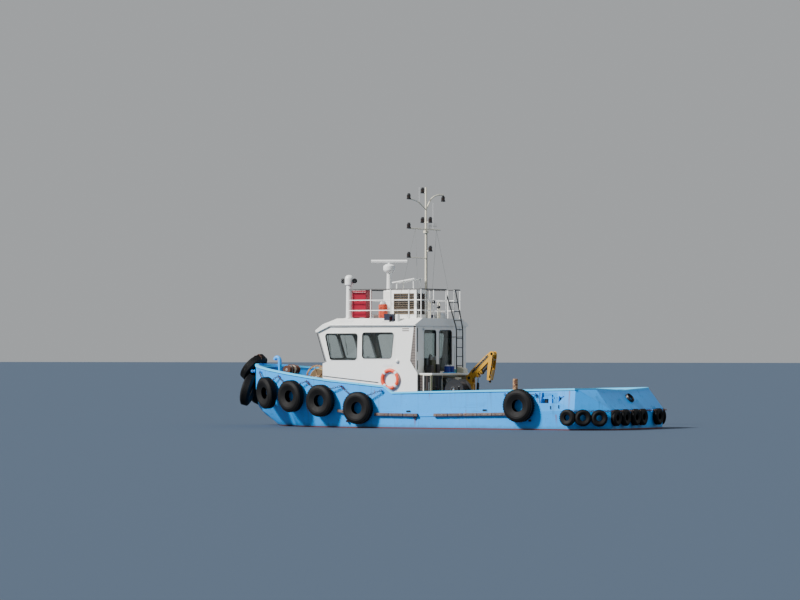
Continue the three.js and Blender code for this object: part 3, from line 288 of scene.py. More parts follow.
def rubber(name, colour, dust, rough=0.78, scuffs=0.0, scuff=(190, 190, 184)):
    finish = Finish(name)
    tint = finish.mix(finish.times(finish.use(PATCHES, Scale=3.0, Cover=0.55, Softness=0.3), 0.6),
        linear(*colour), linear(*dust))
    tint = finish.mix(finish.times(finish.use(PATCHES, Scale=26.0, Cover=0.45, Softness=0.2, Seed=3.0),
        0.35), tint, linear(*dust))
    if scuffs:
        rubbed = finish.use(PATCHES, Scale=7.0, Cover=scuffs, Softness=0.05, Seed=8.0)
        tint = finish.mix(finish.times(rubbed, 0.8), tint, linear(*scuff))
    gloss = finish.minus(rough, finish.times(finish.noise(finish.place, 12.0), 0.2))
    finish.set(Base_Color=tint, Roughness=gloss, Specular_IOR_Level=0.22)
    finish.bump(finish.use(RELIEF, Grain_scale=120.0, Grain=0.4, Dent_scale=14.0, Dents=0.5), 0.5, 0.006)
    return finish.material


def bare(name, colour, rough, metallic, rust=0.0, brushed=0.0):
    """Bare or plated metal, with its drawing lines and, where it shows, rust."""
    finish = Finish(name)
    colour = linear(*colour)
    dull = tuple(c * 0.7 for c in colour[:3]) + (1.0,)
    tint = finish.mix(finish.use(PATCHES, Scale=8.0, Cover=0.4, Softness=0.3), colour, dull)
    gloss = finish.plus(rough, finish.times(finish.noise(finish.place, 20.0), 0.15))
    metal = metallic
    if rust:
        mask = finish.use(PATCHES, Scale=6.0, Cover=rust, Softness=0.12, Seed=3.0)
        fine = finish.mix(finish.use(PATCHES, Scale=45.0, Cover=0.5, Softness=0.2), DARK_RUST, RUST)
        tint = finish.mix(mask, tint, fine)
        gloss = finish.math("MAXIMUM", gloss, finish.times(mask, 0.85))
        metal = finish.times(finish.rest(mask), metallic)
    finish.set(Base_Color=tint, Roughness=gloss, Metallic=metal)
    finish.bump(finish.use(RELIEF, Grain_scale=150.0, Grain=0.25 + brushed, Dent_scale=9.0, Dents=0.3), 0.3,
        0.004)
    return finish.material


def plastic(name, colour, rough=0.4, fade=0.3):
    finish = Finish(name)
    colour = linear(*colour)
    pale = tuple(min(1.0, c * 1.3 + 0.03) for c in colour[:3]) + (1.0,)
    tint = finish.mix(finish.use(PATCHES, Scale=2.5, Cover=fade, Softness=0.35), colour, pale)
    runs = finish.use(STREAKS, Across=12.0, Down=1.0, Cover=0.3, Seed=2.0)
    tint = finish.mix(finish.times(runs, 0.25), tint, linear(70, 66, 60))
    finish.set(Base_Color=tint, Roughness=finish.plus(rough, finish.times(runs, 0.25)))
    finish.bump(finish.use(RELIEF, Grain_scale=260.0, Grain=0.2, Dent_scale=6.0, Dents=0.25), 0.25, 0.003)
    return finish.material


def glass(name, tint, rough=0.03):
    finish = Finish(name)
    salt = finish.use(PATCHES, Scale=5.0, Cover=0.35, Softness=0.35)
    finish.set(Base_Color=tint, Metallic=0.0, Transmission_Weight=1.0, IOR=1.45,
        Roughness=finish.plus(rough, finish.times(salt, 0.05)))
    return finish.material


def laid_rope(name, colour, dark):
    """Rope: strands that wind round it, from the lengthwise and round coordinates of its own map."""
    finish = Finish(name)
    parts = finish.parts(finish.put("ShaderNodeTexCoord").outputs["UV"])
    turn = finish.plus(finish.times(parts["X"], 22.0), finish.times(parts["Y"], 3.0))
    wave = finish.math("ABSOLUTE", finish.math("SINE", finish.times(turn, math.pi)))
    tint = finish.mix(finish.use(PATCHES, Scale=18.0, Cover=0.5, Softness=0.3), linear(*colour),
        linear(*dark))
    tint = finish.mix(finish.rest(finish.step(wave, 0.0, 0.45)), tint, linear(*dark))
    finish.set(Base_Color=tint, Roughness=0.9)
    finish.bump(finish.plus(wave, finish.times(finish.noise(finish.place, 220.0), 0.3)), 0.8, 0.008)
    return finish.material


BLUE = (16, 154, 240)
M = {
    "hull": paint("hull_blue", BLUE, 0.45, 0.13, 0.42, 0.5, (52, 74, 84), extra=hull_layers),
    "blue": paint("fitting_blue", BLUE, 0.45, 0.14, 0.4, 0.5, (60, 80, 90)),
    "cap": paint("cap_rail_blue", (70, 196, 252), 0.42, 0.12, 0.3, 0.3, (60, 80, 90)),
    "antifouling": paint("antifouling_red", (96, 38, 32), 0.75, 0.2, 0.4, 0.7, (60, 66, 48)),
    "deck": paint("deck_green", (74, 92, 88), 0.8, 0.32, 0.0, 0.8, (70, 62, 52), grain=2.4),
    "white": paint("house_white", (232, 233, 230), 0.38, 0.05, 0.25, 0.25, (150, 140, 122)),
    "cream": paint("mast_cream", (214, 209, 190), 0.45, 0.13, 0.3, 0.4, (120, 104, 80)),
    "tan": paint("post_tan", (164, 132, 96), 0.6, 0.42, 0.4, 0.6, (92, 60, 36)),
    "olive": paint("machine_olive", (62, 66, 44), 0.5, 0.14, 0.3, 0.5),
    "teal": paint("box_teal", (30, 132, 128), 0.45, 0.1, 0.3, 0.4),
    "navy": paint("screen_navy", (22, 30, 52), 0.4, 0.05, 0.3, 0.4),
    "yellow": paint("crane_yellow", (196, 146, 34), 0.42, 0.16, 0.3, 0.5, (70, 56, 34)),
    "black": paint("black_paint", (30, 31, 34), 0.4, 0.1, 0.3, 0.4, (70, 66, 60)),
    "grey": paint("machine_grey", (104, 108, 110), 0.5, 0.14, 0.3, 0.5),
    "red": paint("locker_red", (138, 12, 40), 0.3, 0.03, 0.3, 0.35, (70, 20, 24)),
    "orange": plastic("buoy_orange", (206, 78, 50), 0.5, 0.5),
    "rescue": plastic("rescue_orange", (226, 74, 40), 0.5, 0.4),
    "brown": paint("louvre_brown", (136, 120, 100), 0.55, 0.12, 0.3, 0.5, (50, 42, 36)),
    "drum": plastic("drum_blue", (20, 38, 138), 0.35, 0.2),
    "lid": plastic("lid_white", (222, 224, 224), 0.4, 0.2),
    "interior": plastic("interior_grey", (120, 124, 126), 0.6, 0.2),
    "panel": plastic("panel_dark", (36, 38, 42), 0.5, 0.2),
    "lining": plastic("lining_cream", (206, 204, 194), 0.6, 0.2),
    "tyre": rubber("tyre_rubber", (8, 8, 10), (22, 22, 22)),
    "worn_tyre": rubber("worn_tyre_rubber", (9, 9, 11), (27, 26, 26), scuffs=0.2),
    "belting": rubber("belting_rubber", (92, 82, 80), (136, 122, 116), 0.85, 0.25, (150, 132, 122)),
    "gasket": rubber("gasket_rubber", (22, 23, 25), (40, 40, 40), 0.6),
    "steel": bare("galvanised_steel", (150, 152, 150), 0.42, 0.85, 0.35),
    "chain": bare("chain_steel", (104, 94, 84), 0.6, 0.7, 0.75),
    "shaft": bare("shaft_steel", (190, 186, 176), 0.25, 1.0, 0.0, 0.4),
    "chrome": bare("rod_chrome", (214, 214, 214), 0.1, 1.0),
    "bronze": bare("screw_bronze", (196, 156, 88), 0.3, 1.0),
    "zinc": bare("zinc_anode", (168, 172, 172), 0.6, 0.6),
    "rust": bare("rusted_iron", (96, 70, 54), 0.7, 0.5, 0.95),
    "glass": glass("window_glass", (0.84, 0.90, 0.89, 1.0)),
    # Darker copy of the window glass for the aft wall, which lies in shade: painted shade.
    "glass_painted_shade": glass("window_glass_shaded", (0.46, 0.54, 0.54, 1.0)),
    "dark_louvre": paint("louvre_dark", (74, 62, 58), 0.55, 0.12, 0.3, 0.5, (50, 42, 36)),
    "seal": rubber("seal_grey", (58, 60, 62), (92, 92, 90), 0.7),
    "rope_dark": laid_rope("rope_dark", (52, 47, 46), (20, 20, 23)),
    "screen": plastic("screen_dark", (12, 16, 20), 0.12, 0.1),
    "dark_lens": plastic("lamp_dark", (40, 30, 26), 0.25, 0.2),
    "lens": glass("lens_clear", (0.9, 0.9, 0.88, 1.0), 0.08),
    "red_lens": glass("lens_red", (0.5, 0.02, 0.03, 1.0), 0.1),
    "green_lens": glass("lens_green", (0.03, 0.42, 0.16, 1.0), 0.1),
    "rope": laid_rope("rope_tan", (176, 152, 108), (96, 78, 52)),
    "rope_blue": laid_rope("rope_blue", (58, 108, 176), (26, 48, 86)),
    "rope_white": laid_rope("rope_white", (214, 208, 190), (128, 118, 98)),
    "leather": plastic("seat_leather", (34, 34, 36), 0.5, 0.3),
}


# ---- Shapes

def circle(count, start=0.0):
    """Cosine and sine of evenly spaced angles, once round."""
    return [(math.cos(start + TAU * k / count), math.sin(start + TAU * k / count)) for k in range(count)]


def capped(count):
    """Faces of a shape between two outlines, its ends closed."""
    sides = [(i, i + count, (i + 1) % count + count, (i + 1) % count) for i in range(count)]
    return [tuple(range(count)), tuple(range(2 * count - 1, count - 1, -1))] + sides


def basis(axis):
    """Two directions square to an axis, and the axis."""
    w = Vector(axis).normalized()
    side = Vector(UP) if abs(w.z) < 0.9 else Vector(AHEAD)
    u = side.cross(w).normalized()
    return u, w.cross(u), w


def smooth_path(points, steps=6, closed=False):
    """A curve through the points, as many more points."""
    points = [Vector(p) for p in points]
    n = len(points)
    out = []
    for i in range(n if closed else n - 1):
        if closed:
            a, b, c, d = (points[(i + k) % n] for k in (-1, 0, 1, 2))
        else:
            b, c = points[i], points[i + 1]
            a = points[i - 1] if i else b * 2 - c
            d = points[i + 2] if i + 2 < n else c * 2 - b
        for k in range(steps):
            t = k / steps
            out.append(0.5 * ((2 * b) + (c - a) * t + (2 * a - 5 * b + 4 * c - d) * t * t
                + (3 * b - a - 3 * c + d) * t ** 3))
    if not closed:
        out.append(points[-1])
    return out


class Piece:
    """Gathers closed shapes, each with its finish, into one object."""

    def __init__(self, name):
        self.name = name
        self.verts, self.faces, self.marks, self.maps = [], [], [], []
        self.finishes = []

    def mark(self, finish):
        if finish not in self.finishes:
            self.finishes.append(finish)
        return self.finishes.index(finish)

    def add(self, verts, faces, finish, maps=None):
        start = len(self.verts)
        self.verts += [Vector(v) for v in verts]
        self.faces += [tuple(start + i for i in face) for face in faces]
        self.marks += [self.mark(finish)] * len(faces)
        self.maps += maps or [[(0.0, 0.0)] * len(face) for face in faces]
        return self

    def absorb(self, mesh, finish, place=Matrix.Identity(4)):
        verts = [place @ v.co for v in mesh.vertices]
        self.add(verts, [tuple(p.vertices) for p in mesh.polygons], finish)
        return self

    def solid(self, verts, faces, finish, bevel=0.0, segments=2):
        """A closed shape with its sharp edges rounded."""
        if not bevel:
            return self.add(verts, faces, finish)
        shape = bmesh.new()
        made = [shape.verts.new(v) for v in verts]
        for face in faces:
            shape.faces.new([made[i] for i in face])
        bmesh.ops.recalc_face_normals(shape, faces=shape.faces)
        sharp = [e for e in shape.edges if e.calc_face_angle(0.0) > 0.4]
        bmesh.ops.bevel(shape, geom=sharp, offset=bevel, segments=segments, profile=0.5, affect="EDGES",
            clamp_overlap=True)
        shape.verts.index_update()
        self.add([v.co.copy() for v in shape.verts], [tuple(v.index for v in f.verts) for f in shape.faces],
            finish)
        shape.free()
        return self

    def box(self, low, high, finish, bevel=0.004, turn=None):
        """A block between two corners, turned about its middle by a matrix if one is given."""
        low, high = Vector(low), Vector(high)
        middle = (low + high) / 2
        corners = [Vector((x, y, z)) for x in (low.x, high.x) for y in (low.y, high.y)
            for z in (low.z, high.z)]
        if turn is not None:
            corners = [middle + turn @ (c - middle) for c in corners]
        faces = [(0, 1, 3, 2), (4, 6, 7, 5), (0, 4, 5, 1), (2, 3, 7, 6), (0, 2, 6, 4), (1, 5, 7, 3)]
        return self.solid(corners, faces, finish, bevel)

    def prism(self, outline, axis, span, finish, bevel=0.0):
        """An outline pushed along x, y or z: (y, z) along x, (x, z) along y, (x, y) along z."""
        order = {"x": (2, 0, 1), "y": (0, 2, 1), "z": (0, 1, 2)}[axis]
        verts = [[(a, b, c)[i] for i in order] for c in span for a, b in outline]
        return self.solid(verts, capped(len(outline)), finish, bevel)

    def plate(self, corners, thick, finish, bevel=0.0):
        """A flat sheet through the corners, thickened to both sides."""
        corners = [Vector(c) for c in corners]
        normal = (corners[1] - corners[0]).cross(corners[-1] - corners[0]).normalized() * thick / 2
        verts = [c - normal for c in corners] + [c + normal for c in corners]
        return self.solid(verts, capped(len(corners)), finish, bevel)

    def lathe(self, profile, base, axis, finish, sides=24):
        """A turned shape. The profile is (radius, height) pairs, from pole to pole or closed."""
        u, v, w = basis(axis)
        base = Vector(base)
        ring = [u * c + v * s for c, s in circle(sides)]
        closed = profile[0] == profile[-1]
        rows, verts = [], []
        for radius, height in (profile[:-1] if closed else profile):
            row = [len(verts)] if radius < 1e-6 else list(range(len(verts), len(verts) + sides))
            verts += [base + w * height] if radius < 1e-6 else [base + w * height + r * radius for r in ring]
            rows.append(row)
        faces = []
        pairs = list(zip(rows, rows[1:])) + ([(rows[-1], rows[0])] if closed else [])
        for a, b in pairs:
            for k in range(sides):
                m = (k + 1) % sides
                corners = (a[k % len(a)], b[k % len(b)], b[m % len(b)], a[m % len(a)])
                faces.append(tuple(dict.fromkeys(corners)))
        if not closed:
            faces += [tuple(row) for row in (rows[0], rows[-1])]
        return self.add(verts, [face for face in faces if len(face) > 2], finish)

    def rod(self, a, b, radius, finish, sides=16, end=None, soft=0.0):
        """A round bar or cone between two points, its rims rounded by soft."""
        a, b = Vector(a), Vector(b)
        length = (b - a).length
        end = radius if end is None else end
        if soft:
            profile = [(0, 0), (radius - soft, 0), (radius - soft * 0.3, soft * 0.3), (radius, soft),
                (end, length - soft), (end - soft * 0.3, length - soft * 0.3), (end - soft, length),
                (0, length)]
        else:
            profile = [(0, 0), (radius, 0), (end, length), (0, length)]
        return self.lathe(profile, a, b - a, finish, sides)

    def tube(self, points, radius, finish, sides=10, steps=0, closed=False):
        """A round bar along a path, curved through its points when steps are given."""
        path = smooth_path(points, steps, closed) if steps else [Vector(p) for p in points]
        n = len(path)
        verts, faces, maps = [], [], []
        tangents = []
        for i in range(n):
            back = path[(i - 1) % n] if closed or i else path[0]
            ahead = path[(i + 1) % n] if closed or i + 1 < n else path[-1]
            tangents.append((ahead - back).normalized())
        u = basis(tangents[0])[0]
        run = [0.0]
        for i in range(n):
            if i:
                u = (u - tangents[i] * u.dot(tangents[i])).normalized()
                run.append(run[-1] + (path[i] - path[i - 1]).length)
            v = tangents[i].cross(u)
            verts += [path[i] + (u * c + v * s) * radius for c, s in circle(sides)]
        run.append(run[-1] + (path[0] - path[-1]).length)
        for i in range(n if closed else n - 1):
            j = (i + 1) % n
            for k in range(sides):
                m = (k + 1) % sides
                faces.append((i * sides + k, j * sides + k, j * sides + m, i * sides + m))
                maps.append([(run[i], k / sides), (run[i + 1], k / sides), (run[i + 1], (k + 1) / sides),
                    (run[i], (k + 1) / sides)])
        if not closed:
            for first in (0, (n - 1) * sides):
                faces.append(tuple(range(first, first + sides)))
                maps.append([(0.0, 0.0)] * sides)
        return self.add(verts, faces, finish, maps)

    def ball(self, centre, radius, finish, sides, rings):
        arc = [math.pi * k / rings for k in range(1, rings)]
        profile = [(radius * math.sin(a), -radius * math.cos(a)) for a in arc]
        return self.lathe([(0, -radius)] + profile + [(0, radius)], centre, UP, finish, sides)

    def join(self, other):
        start = len(self.verts)
        self.verts += other.verts
        self.faces += [tuple(start + i for i in face) for face in other.faces]
        self.marks += [self.mark(other.finishes[m]) for m in other.marks]
        self.maps += other.maps
        return self

    def flip(self):
        """The same shapes on the other side of the boat."""
        self.verts = [Vector((v.x, -v.y, v.z)) for v in self.verts]
        self.faces = [tuple(reversed(face)) for face in self.faces]
        self.maps = [list(reversed(m)) for m in self.maps]
        return self

    def mirror(self):
        """Everything so far, again on the other side."""
        return self.join(Piece(self.name).join(self).flip())

    def done(self, body="boat", replaces=(), angle=38.0, clean=True):
        """The finished object, riding on a body."""
        mesh = bpy.data.meshes.new(self.name)
        mesh.from_pydata(self.verts, [], self.faces)
        for finish in self.finishes:
            mesh.materials.append(M[finish])
        mesh.polygons.foreach_set("material_index", self.marks)
        layer = mesh.uv_layers.new(name="UVMap")
        layer.data.foreach_set("uv", [c for m in self.maps for pair in m for c in pair])
        shape = bmesh.new()
        shape.from_mesh(mesh)
        if clean:
            bmesh.ops.recalc_face_normals(shape, faces=shape.faces)
        shape.to_mesh(mesh)
        shape.free()
        obj = link(bpy.data.objects.new(self.name, mesh))
        finish_object(obj, angle)
        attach(obj, body)
        if replaces:
            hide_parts(*replaces)
        return obj


def evaluated(obj):
    """The object's mesh with its modifiers run."""
    graph = bpy.context.evaluated_depsgraph_get()
    return bpy.data.meshes.new_from_object(obj.evaluated_get(graph), preserve_all_data_layers=True,
        depsgraph=graph)


def finish_object(obj, angle=38.0):
    """Smooth faces, sharp edges past an angle, and normals that follow the larger faces."""
    obj.data.shade_smooth()
    obj.data.set_sharp_from_angle(angle=math.radians(angle))
    obj.modifiers.new("even", "WEIGHTED_NORMAL").keep_sharp = True
    old = obj.data
    new = evaluated(obj)
    obj.modifiers.clear()
    obj.data = new
    bpy.data.meshes.remove(old)
    new.name = obj.name


def by_facing(way, finish, other, share=0.9):
    """Picks one finish for faces that look a given way, and another for the rest."""
    return lambda centre, normal: finish if normal.dot(Vector(way)) > share else other


def dressed_copy(node, name, finish, body="boat", angle=25.0, pick=None, cuts=()):
    """A smooth-shaded copy of a frame's node, cut at planes, with a finish picked for each face."""
    shape = bmesh.new()
    shape.from_mesh(NODES[node].data)
    bmesh.ops.remove_doubles(shape, verts=shape.verts, dist=1e-5)
    for point, normal in cuts:
        bmesh.ops.bisect_plane(shape, geom=shape.verts[:] + shape.edges[:] + shape.faces[:], dist=1e-5,
            plane_co=point, plane_no=normal)
    bmesh.ops.recalc_face_normals(shape, faces=shape.faces)
    piece = Piece(name)
    piece.mark(finish)
    shape.verts.index_update()
    piece.verts = [v.co.copy() for v in shape.verts]
    for face in shape.faces:
        piece.faces.append(tuple(v.index for v in face.verts))
        chosen = pick(face.calc_center_median(), face.normal) if pick else finish
        piece.marks.append(piece.mark(chosen))
        piece.maps.append([(0.0, 0.0)] * len(face.verts))
    shape.free()
    return piece.done(body, replaces=(node,), angle=angle, clean=False)


# ---- What repeats: trees that grow it

def geometry_tree(name, inputs, build):
    """A tree with named inputs. build(web, ins) returns points, what stands on each and how it's turned."""
    tree = bpy.data.node_groups.new(name, "GeometryNodeTree")
    tree.is_modifier = True
    kinds = {float: "NodeSocketFloat", int: "NodeSocketInt", str: "NodeSocket"}
    for label, value in {"Geometry": "Geometry", **inputs, "Finish": "Material"}.items():
        kind = kinds[type(value)] + (value if type(value) is str else "")
        socket = tree.interface.new_socket(label, in_out="INPUT", socket_type=kind)
        if type(value) is not str:
            socket.default_value = value
    tree.interface.new_socket("Geometry", in_out="OUTPUT", socket_type="NodeSocketGeometry")
    web = Web(tree)
    ins = {socket.name: socket for socket in web.put("NodeGroupInput").outputs if socket.name}
    points, shape, turn = build(web, ins)
    instances = web.put("GeometryNodeInstanceOnPoints", {"Points": points, "Instance": shape,
        "Rotation": turn})
    real = web.put("GeometryNodeRealizeInstances", {"Geometry": instances.outputs[0]})
    set_finish = web.put("GeometryNodeSetMaterial", {"Geometry": real.outputs[0], "Material": ins["Finish"]})
    web.put("NodeGroupOutput", {"Geometry": set_finish.outputs[0]})
    return tree


def facing(web):
    """The turn that each point asks for."""
    ways = [web.put("GeometryNodeInputNamedAttribute", {"Name": name},
        data_type="FLOAT_VECTOR").outputs["Attribute"] for name in ("facing", "across")]
    return web.put("FunctionNodeAxesToRotation", {"Primary Axis": ways[0], "Secondary Axis": ways[1]},
        primary_axis="Z", secondary_axis="X").outputs["Rotation"]


def build_heads(web, ins):
    head = web.put("GeometryNodeMeshCylinder", {"Vertices": 6, "Radius": ins["Radius"],
        "Depth": ins["Height"]})
    return ins["Geometry"], head.outputs["Mesh"], facing(web)


def build_blocks(web, ins):
    block = web.put("GeometryNodeMeshCube", {"Size": web.xyz(ins["Width"], ins["Length"], ins["Height"])})
    return ins["Geometry"], block.outputs["Mesh"], facing(web)


def build_links(web, ins):
    loop = web.put("GeometryNodeCurvePrimitiveCircle", {"Resolution": 10, "Radius": ins["Half width"]})
    upright = web.put("GeometryNodeTransform", {"Geometry": loop.outputs["Curve"],
        "Scale": web.xyz(ins["Stretch"], 1.0, 1.0)})
    turned = web.put("GeometryNodeTransform", {"Geometry": upright.outputs[0],
        "Rotation": (0.0, math.pi / 2, 0.0)})
    wire = web.put("GeometryNodeCurvePrimitiveCircle", {"Resolution": 6, "Radius": ins["Wire"]})
    one = web.put("GeometryNodeCurveToMesh", {"Curve": turned.outputs[0],
        "Profile Curve": wire.outputs["Curve"]})
    points = web.put("GeometryNodeCurveToPoints", {"Curve": ins["Geometry"], "Length": ins["Pitch"]},
        mode="LENGTH")
    parity = web.math("MODULO", web.put("GeometryNodeInputIndex").outputs[0], 2.0)
    spin = web.put("FunctionNodeAxisAngleToRotation", {"Axis": (0.0, 0.0, 1.0),
        "Angle": web.times(parity, math.pi / 2)})
    turn = web.put("FunctionNodeRotateRotation", {"Rotation": points.outputs["Rotation"],
        "Rotate By": spin.outputs[0]}, rotation_space="LOCAL")
    return points.outputs["Points"], one.outputs[0], turn.outputs[0]


def build_louvre(web, ins):
    blade = web.put("GeometryNodeMeshCube", {"Size": web.xyz(ins["Width"], ins["Thick"], ins["Depth"])})
    line = web.put("GeometryNodeMeshLine", {"Count": ins["Blades"],
        "Offset": web.xyz(0.0, ins["Pitch"], 0.0)}, mode="OFFSET")
    return line.outputs["Mesh"], blade.outputs["Mesh"], web.xyz(ins["Tilt"], 0.0, 0.0)


HEADS = geometry_tree("bolt_heads", {"Radius": 0.012, "Height": 0.012}, build_heads)
BLOCKS = geometry_tree("tread_blocks", {"Width": 0.05, "Length": 0.05, "Height": 0.02}, build_blocks)
LINKS = geometry_tree("chain_links", {"Half width": 0.03, "Stretch": 1.6, "Wire": 0.009, "Pitch": 0.07},
    build_links)
LOUVRE = geometry_tree("louvre_blades", {"Blades": 8, "Pitch": 0.08, "Width": 0.6, "Depth": 0.07,
    "Thick": 0.006, "Tilt": 0.7}, build_louvre)


def grow(tree, source, finish, **sizes):
    """Runs a tree on a source object and returns the plain mesh; the source goes."""
    modifier = source.modifiers.new("grow", "NODES")
    modifier.node_group = tree
    values = {key.replace("_", " "): value for key, value in sizes.items()}
    values["Finish"] = M[finish]
    for item in tree.interface.items_tree:
        if item.in_out == "INPUT" and item.name in values:
            modifier[item.identifier] = values[item.name]
    mesh = evaluated(source)
    source.modifiers.clear()
    bpy.data.objects.remove(source)
    return mesh


def point_cloud(spots):
    """Loose points with the way each faces and the way across it."""
    mesh = bpy.data.meshes.new("spots")
    mesh.from_pydata([p for p, _, _ in spots], [], [])
    for index, name in ((1, "facing"), (2, "across")):
        data = mesh.attributes.new(name, "FLOAT_VECTOR", "POINT").data
        data.foreach_set("vector", [c for spot in spots for c in Vector(spot[index])])
    return link(bpy.data.objects.new("spots", mesh))


def heads(piece, spots, finish, radius, height):
    """Bolt heads on a piece. A spot is a place and the way it faces."""
    cloud = point_cloud([(p, n, basis(n)[0]) for p, n in spots])
    return piece.absorb(grow(HEADS, cloud, finish, Radius=radius, Height=height), finish)


def chains(piece, paths, half=0.030, wire=0.010, pitch=0.078):
    """Chain along each path."""
    curve = bpy.data.curves.new("run", "CURVE")
    curve.dimensions = "3D"
    for path in paths:
        spline = curve.splines.new("POLY")
        spline.points.add(len(path) - 1)
        spline.points.foreach_set("co", [c for p in path for c in (*p, 1.0)])
    source = link(bpy.data.objects.new("run", curve))
    return piece.absorb(grow(LINKS, source, "chain", Half_width=half, Wire=wire, Pitch=pitch), "chain")


def louvre(piece, corner, way, width, height, blades, finish):
    """Blades across an upright opening from its lower corner."""
    pitch = height / blades
    start = link(bpy.data.objects.new("start", bpy.data.meshes.new("start")))
    mesh = grow(LOUVRE, start, finish, Blades=blades, Pitch=pitch, Width=width, Depth=0.045, Tilt=-0.75,
        Thick=0.006)
    middle = corner + Vector(way) * width / 2 + Vector(UP) * pitch / 2
    return piece.absorb(mesh, finish, flat(middle, way, UP))


# ---- Outlines, rings and the hull's own lines

def along(table, x, column):
    """A value read from rows sorted by their first column."""
    i = next((k for k, row in enumerate(table) if row[0] >= x), len(table) - 1)
    a, b = table[max(i, 1) - 1], table[max(i, 1)]
    return a[column] + (b[column] - a[column]) * (x - a[0]) / (b[0] - a[0])


def inset(points, by):
    """A flat outline moved inwards on every side, or outwards when by is negative."""
    n = len(points)
    area = sum(points[i][0] * points[(i + 1) % n][1] - points[(i + 1) % n][0] * points[i][1]
        for i in range(n))
    sign = 1.0 if area > 0 else -1.0
    out = []
    for i in range(n):
        p, q, r = (Vector(points[k % n]) for k in (i - 1, i, i + 1))
        a, b = (q - p).normalized(), (r - q).normalized()
        na, nb = Vector((-a.y, a.x)) * sign, Vector((-b.y, b.x)) * sign
        out.append(tuple(q + (na + nb) * (by / (1.0 + na.dot(nb)))))
    return out


def rounded(points, radius, steps=6):
    """A flat outline with its corners turned into arcs."""
    n = len(points)
    out = []
    for i in range(n):
        p, q, r = (Vector(points[k % n]) for k in (i - 1, i, i + 1))
        a, b = (p - q).normalized(), (r - q).normalized()
        half = a.angle(b) / 2
        reach = min(radius / math.tan(half), (p - q).length * 0.49, (r - q).length * 0.49)
        size = reach * math.tan(half)
        centre = q + (a + b).normalized() * (size / math.sin(half))
        start, end = q + a * reach - centre, q + b * reach - centre
        turn = start.angle_signed(end)
        for k in range(steps + 1):
            t = -turn * k / steps
            out.append((centre.x + start.x * math.cos(t) - start.y * math.sin(t),
                centre.y + start.x * math.sin(t) + start.y * math.cos(t)))
    return out


def ring(piece, outer, inner, span, finish, place=Matrix.Identity(4)):
    """A flat ring between two outlines with as many points, pushed along its own z."""
    n = len(outer)
    verts = [place @ Vector((a, b, c)) for c in span for line in (outer, inner) for a, b in line]
    faces = []
    for i in range(n):
        j = (i + 1) % n
        faces += [(i, j, n + j, n + i), (2 * n + i, 3 * n + i, 3 * n + j, 2 * n + j),
            (i, 2 * n + i, 2 * n + j, j), (n + i, n + j, 3 * n + j, 3 * n + i)]
    piece.add(verts, faces, finish)


def flat(origin, along_x, along_y):
    """The matrix that takes a flat drawing to a plane in space."""
    x, y = Vector(along_x).normalized(), Vector(along_y).normalized()
    place = Matrix((x, y, x.cross(y))).transposed().to_4x4()
    place.translation = Vector(origin)
    return place


# Deck edge and bulwark head, stern to stem. Columns: x, half-breadth, height.
DECK = [
    (-7.48, 1.87, 0.66), (-6.56, 2.60, 0.64), (-4.00, 2.60, 0.56), (-1.00, 2.60, 0.50), (1.50, 2.60, 0.52),
    (2.60, 2.56, 0.67), (3.50, 2.48, 0.82), (4.50, 2.29, 0.96), (5.30, 1.95, 1.07), (5.90, 1.56, 1.15),
    (6.35, 1.13, 1.21), (6.70, 0.70, 1.255), (6.90, 0.39, 1.28), (7.00, 0.13, 1.29),
]
HEAD = [
    (-6.56, 2.51, 1.34), (-5.20, 2.60, 1.311), (0.18, 2.60, 1.195), (0.50, 2.60, 1.40), (2.60, 2.60, 1.59),
    (3.51, 2.53, 1.70), (4.52, 2.33, 1.83), (5.34, 1.99, 1.93), (5.94, 1.59, 2.005), (6.38, 1.15, 2.05),
    (6.71, 0.69, 2.085), (6.89, 0.36, 2.105), (6.98, 0.14, 2.11),
]


def outward(x):
    """The way out from the deck edge on the port side."""
    slope = (along(DECK, x + 0.05, 1) - along(DECK, x - 0.05, 1)) / 0.1
    return Vector((-slope, 1.0, 0.0)).normalized()


def on_bulwark(x, drop):
    """A point on the outer face of the port bulwark, some way below its head."""
    foot = Vector((x, along(DECK, x, 1), along(DECK, x, 2)))
    head = Vector((x, along(HEAD, x, 1), along(HEAD, x, 2)))
    return head + (foot - head) * (drop / (head.z - foot.z))


# ---- Hull and bulwarks

DECK_LOW = 0.45
BOTTOM_PAINT_TOP = 0.04
STERN_TOP = 1.34
TRANSOM_HALF = 1.87
CAP_DEPTH = 0.066


def hull_finish(centre, normal):
    if normal.z > 0.9 and centre.z > DECK_LOW:
        return "deck"
    return "antifouling" if centre.z < BOTTOM_PAINT_TOP else "hull"


dressed_copy("hull", "hull_shell", "hull", pick=hull_finish,
    cuts=[((0, 0, BOTTOM_PAINT_TOP), UP)])


def cap_finish(centre, normal):
    first, last = HEAD[0][0], HEAD[-1][0]
    top = STERN_TOP if centre.x < first - 0.01 else along(HEAD, max(first, min(last, centre.x)), 2)
    return "cap" if centre.z > top - CAP_DEPTH and abs(centre.y) > 0.2 else "hull"


for side in ("bow", "port", "starboard"):
    dressed_copy("bulwark_" + side, "bulwark_plating_" + side, "hull", pick=cap_finish)


def stern_finish(centre, normal):
    sag = 0.07 * (1 - min(1.0, abs(centre.y) / TRANSOM_HALF))
    return "cap" if centre.z > STERN_TOP - sag - CAP_DEPTH - 0.002 else "hull"


dressed_copy("bulwark_stern", "bulwark_plating_stern", "hull", pick=stern_finish)

# Bracket places along the inside of the bulwark.
BRACKETS = [-6.30, -5.05, -4.25, -3.45, -2.65, -1.85, -1.05, -0.25, 0.62, 1.35, 2.15, 2.95, 3.75, 4.5, 5.15,
    5.7]


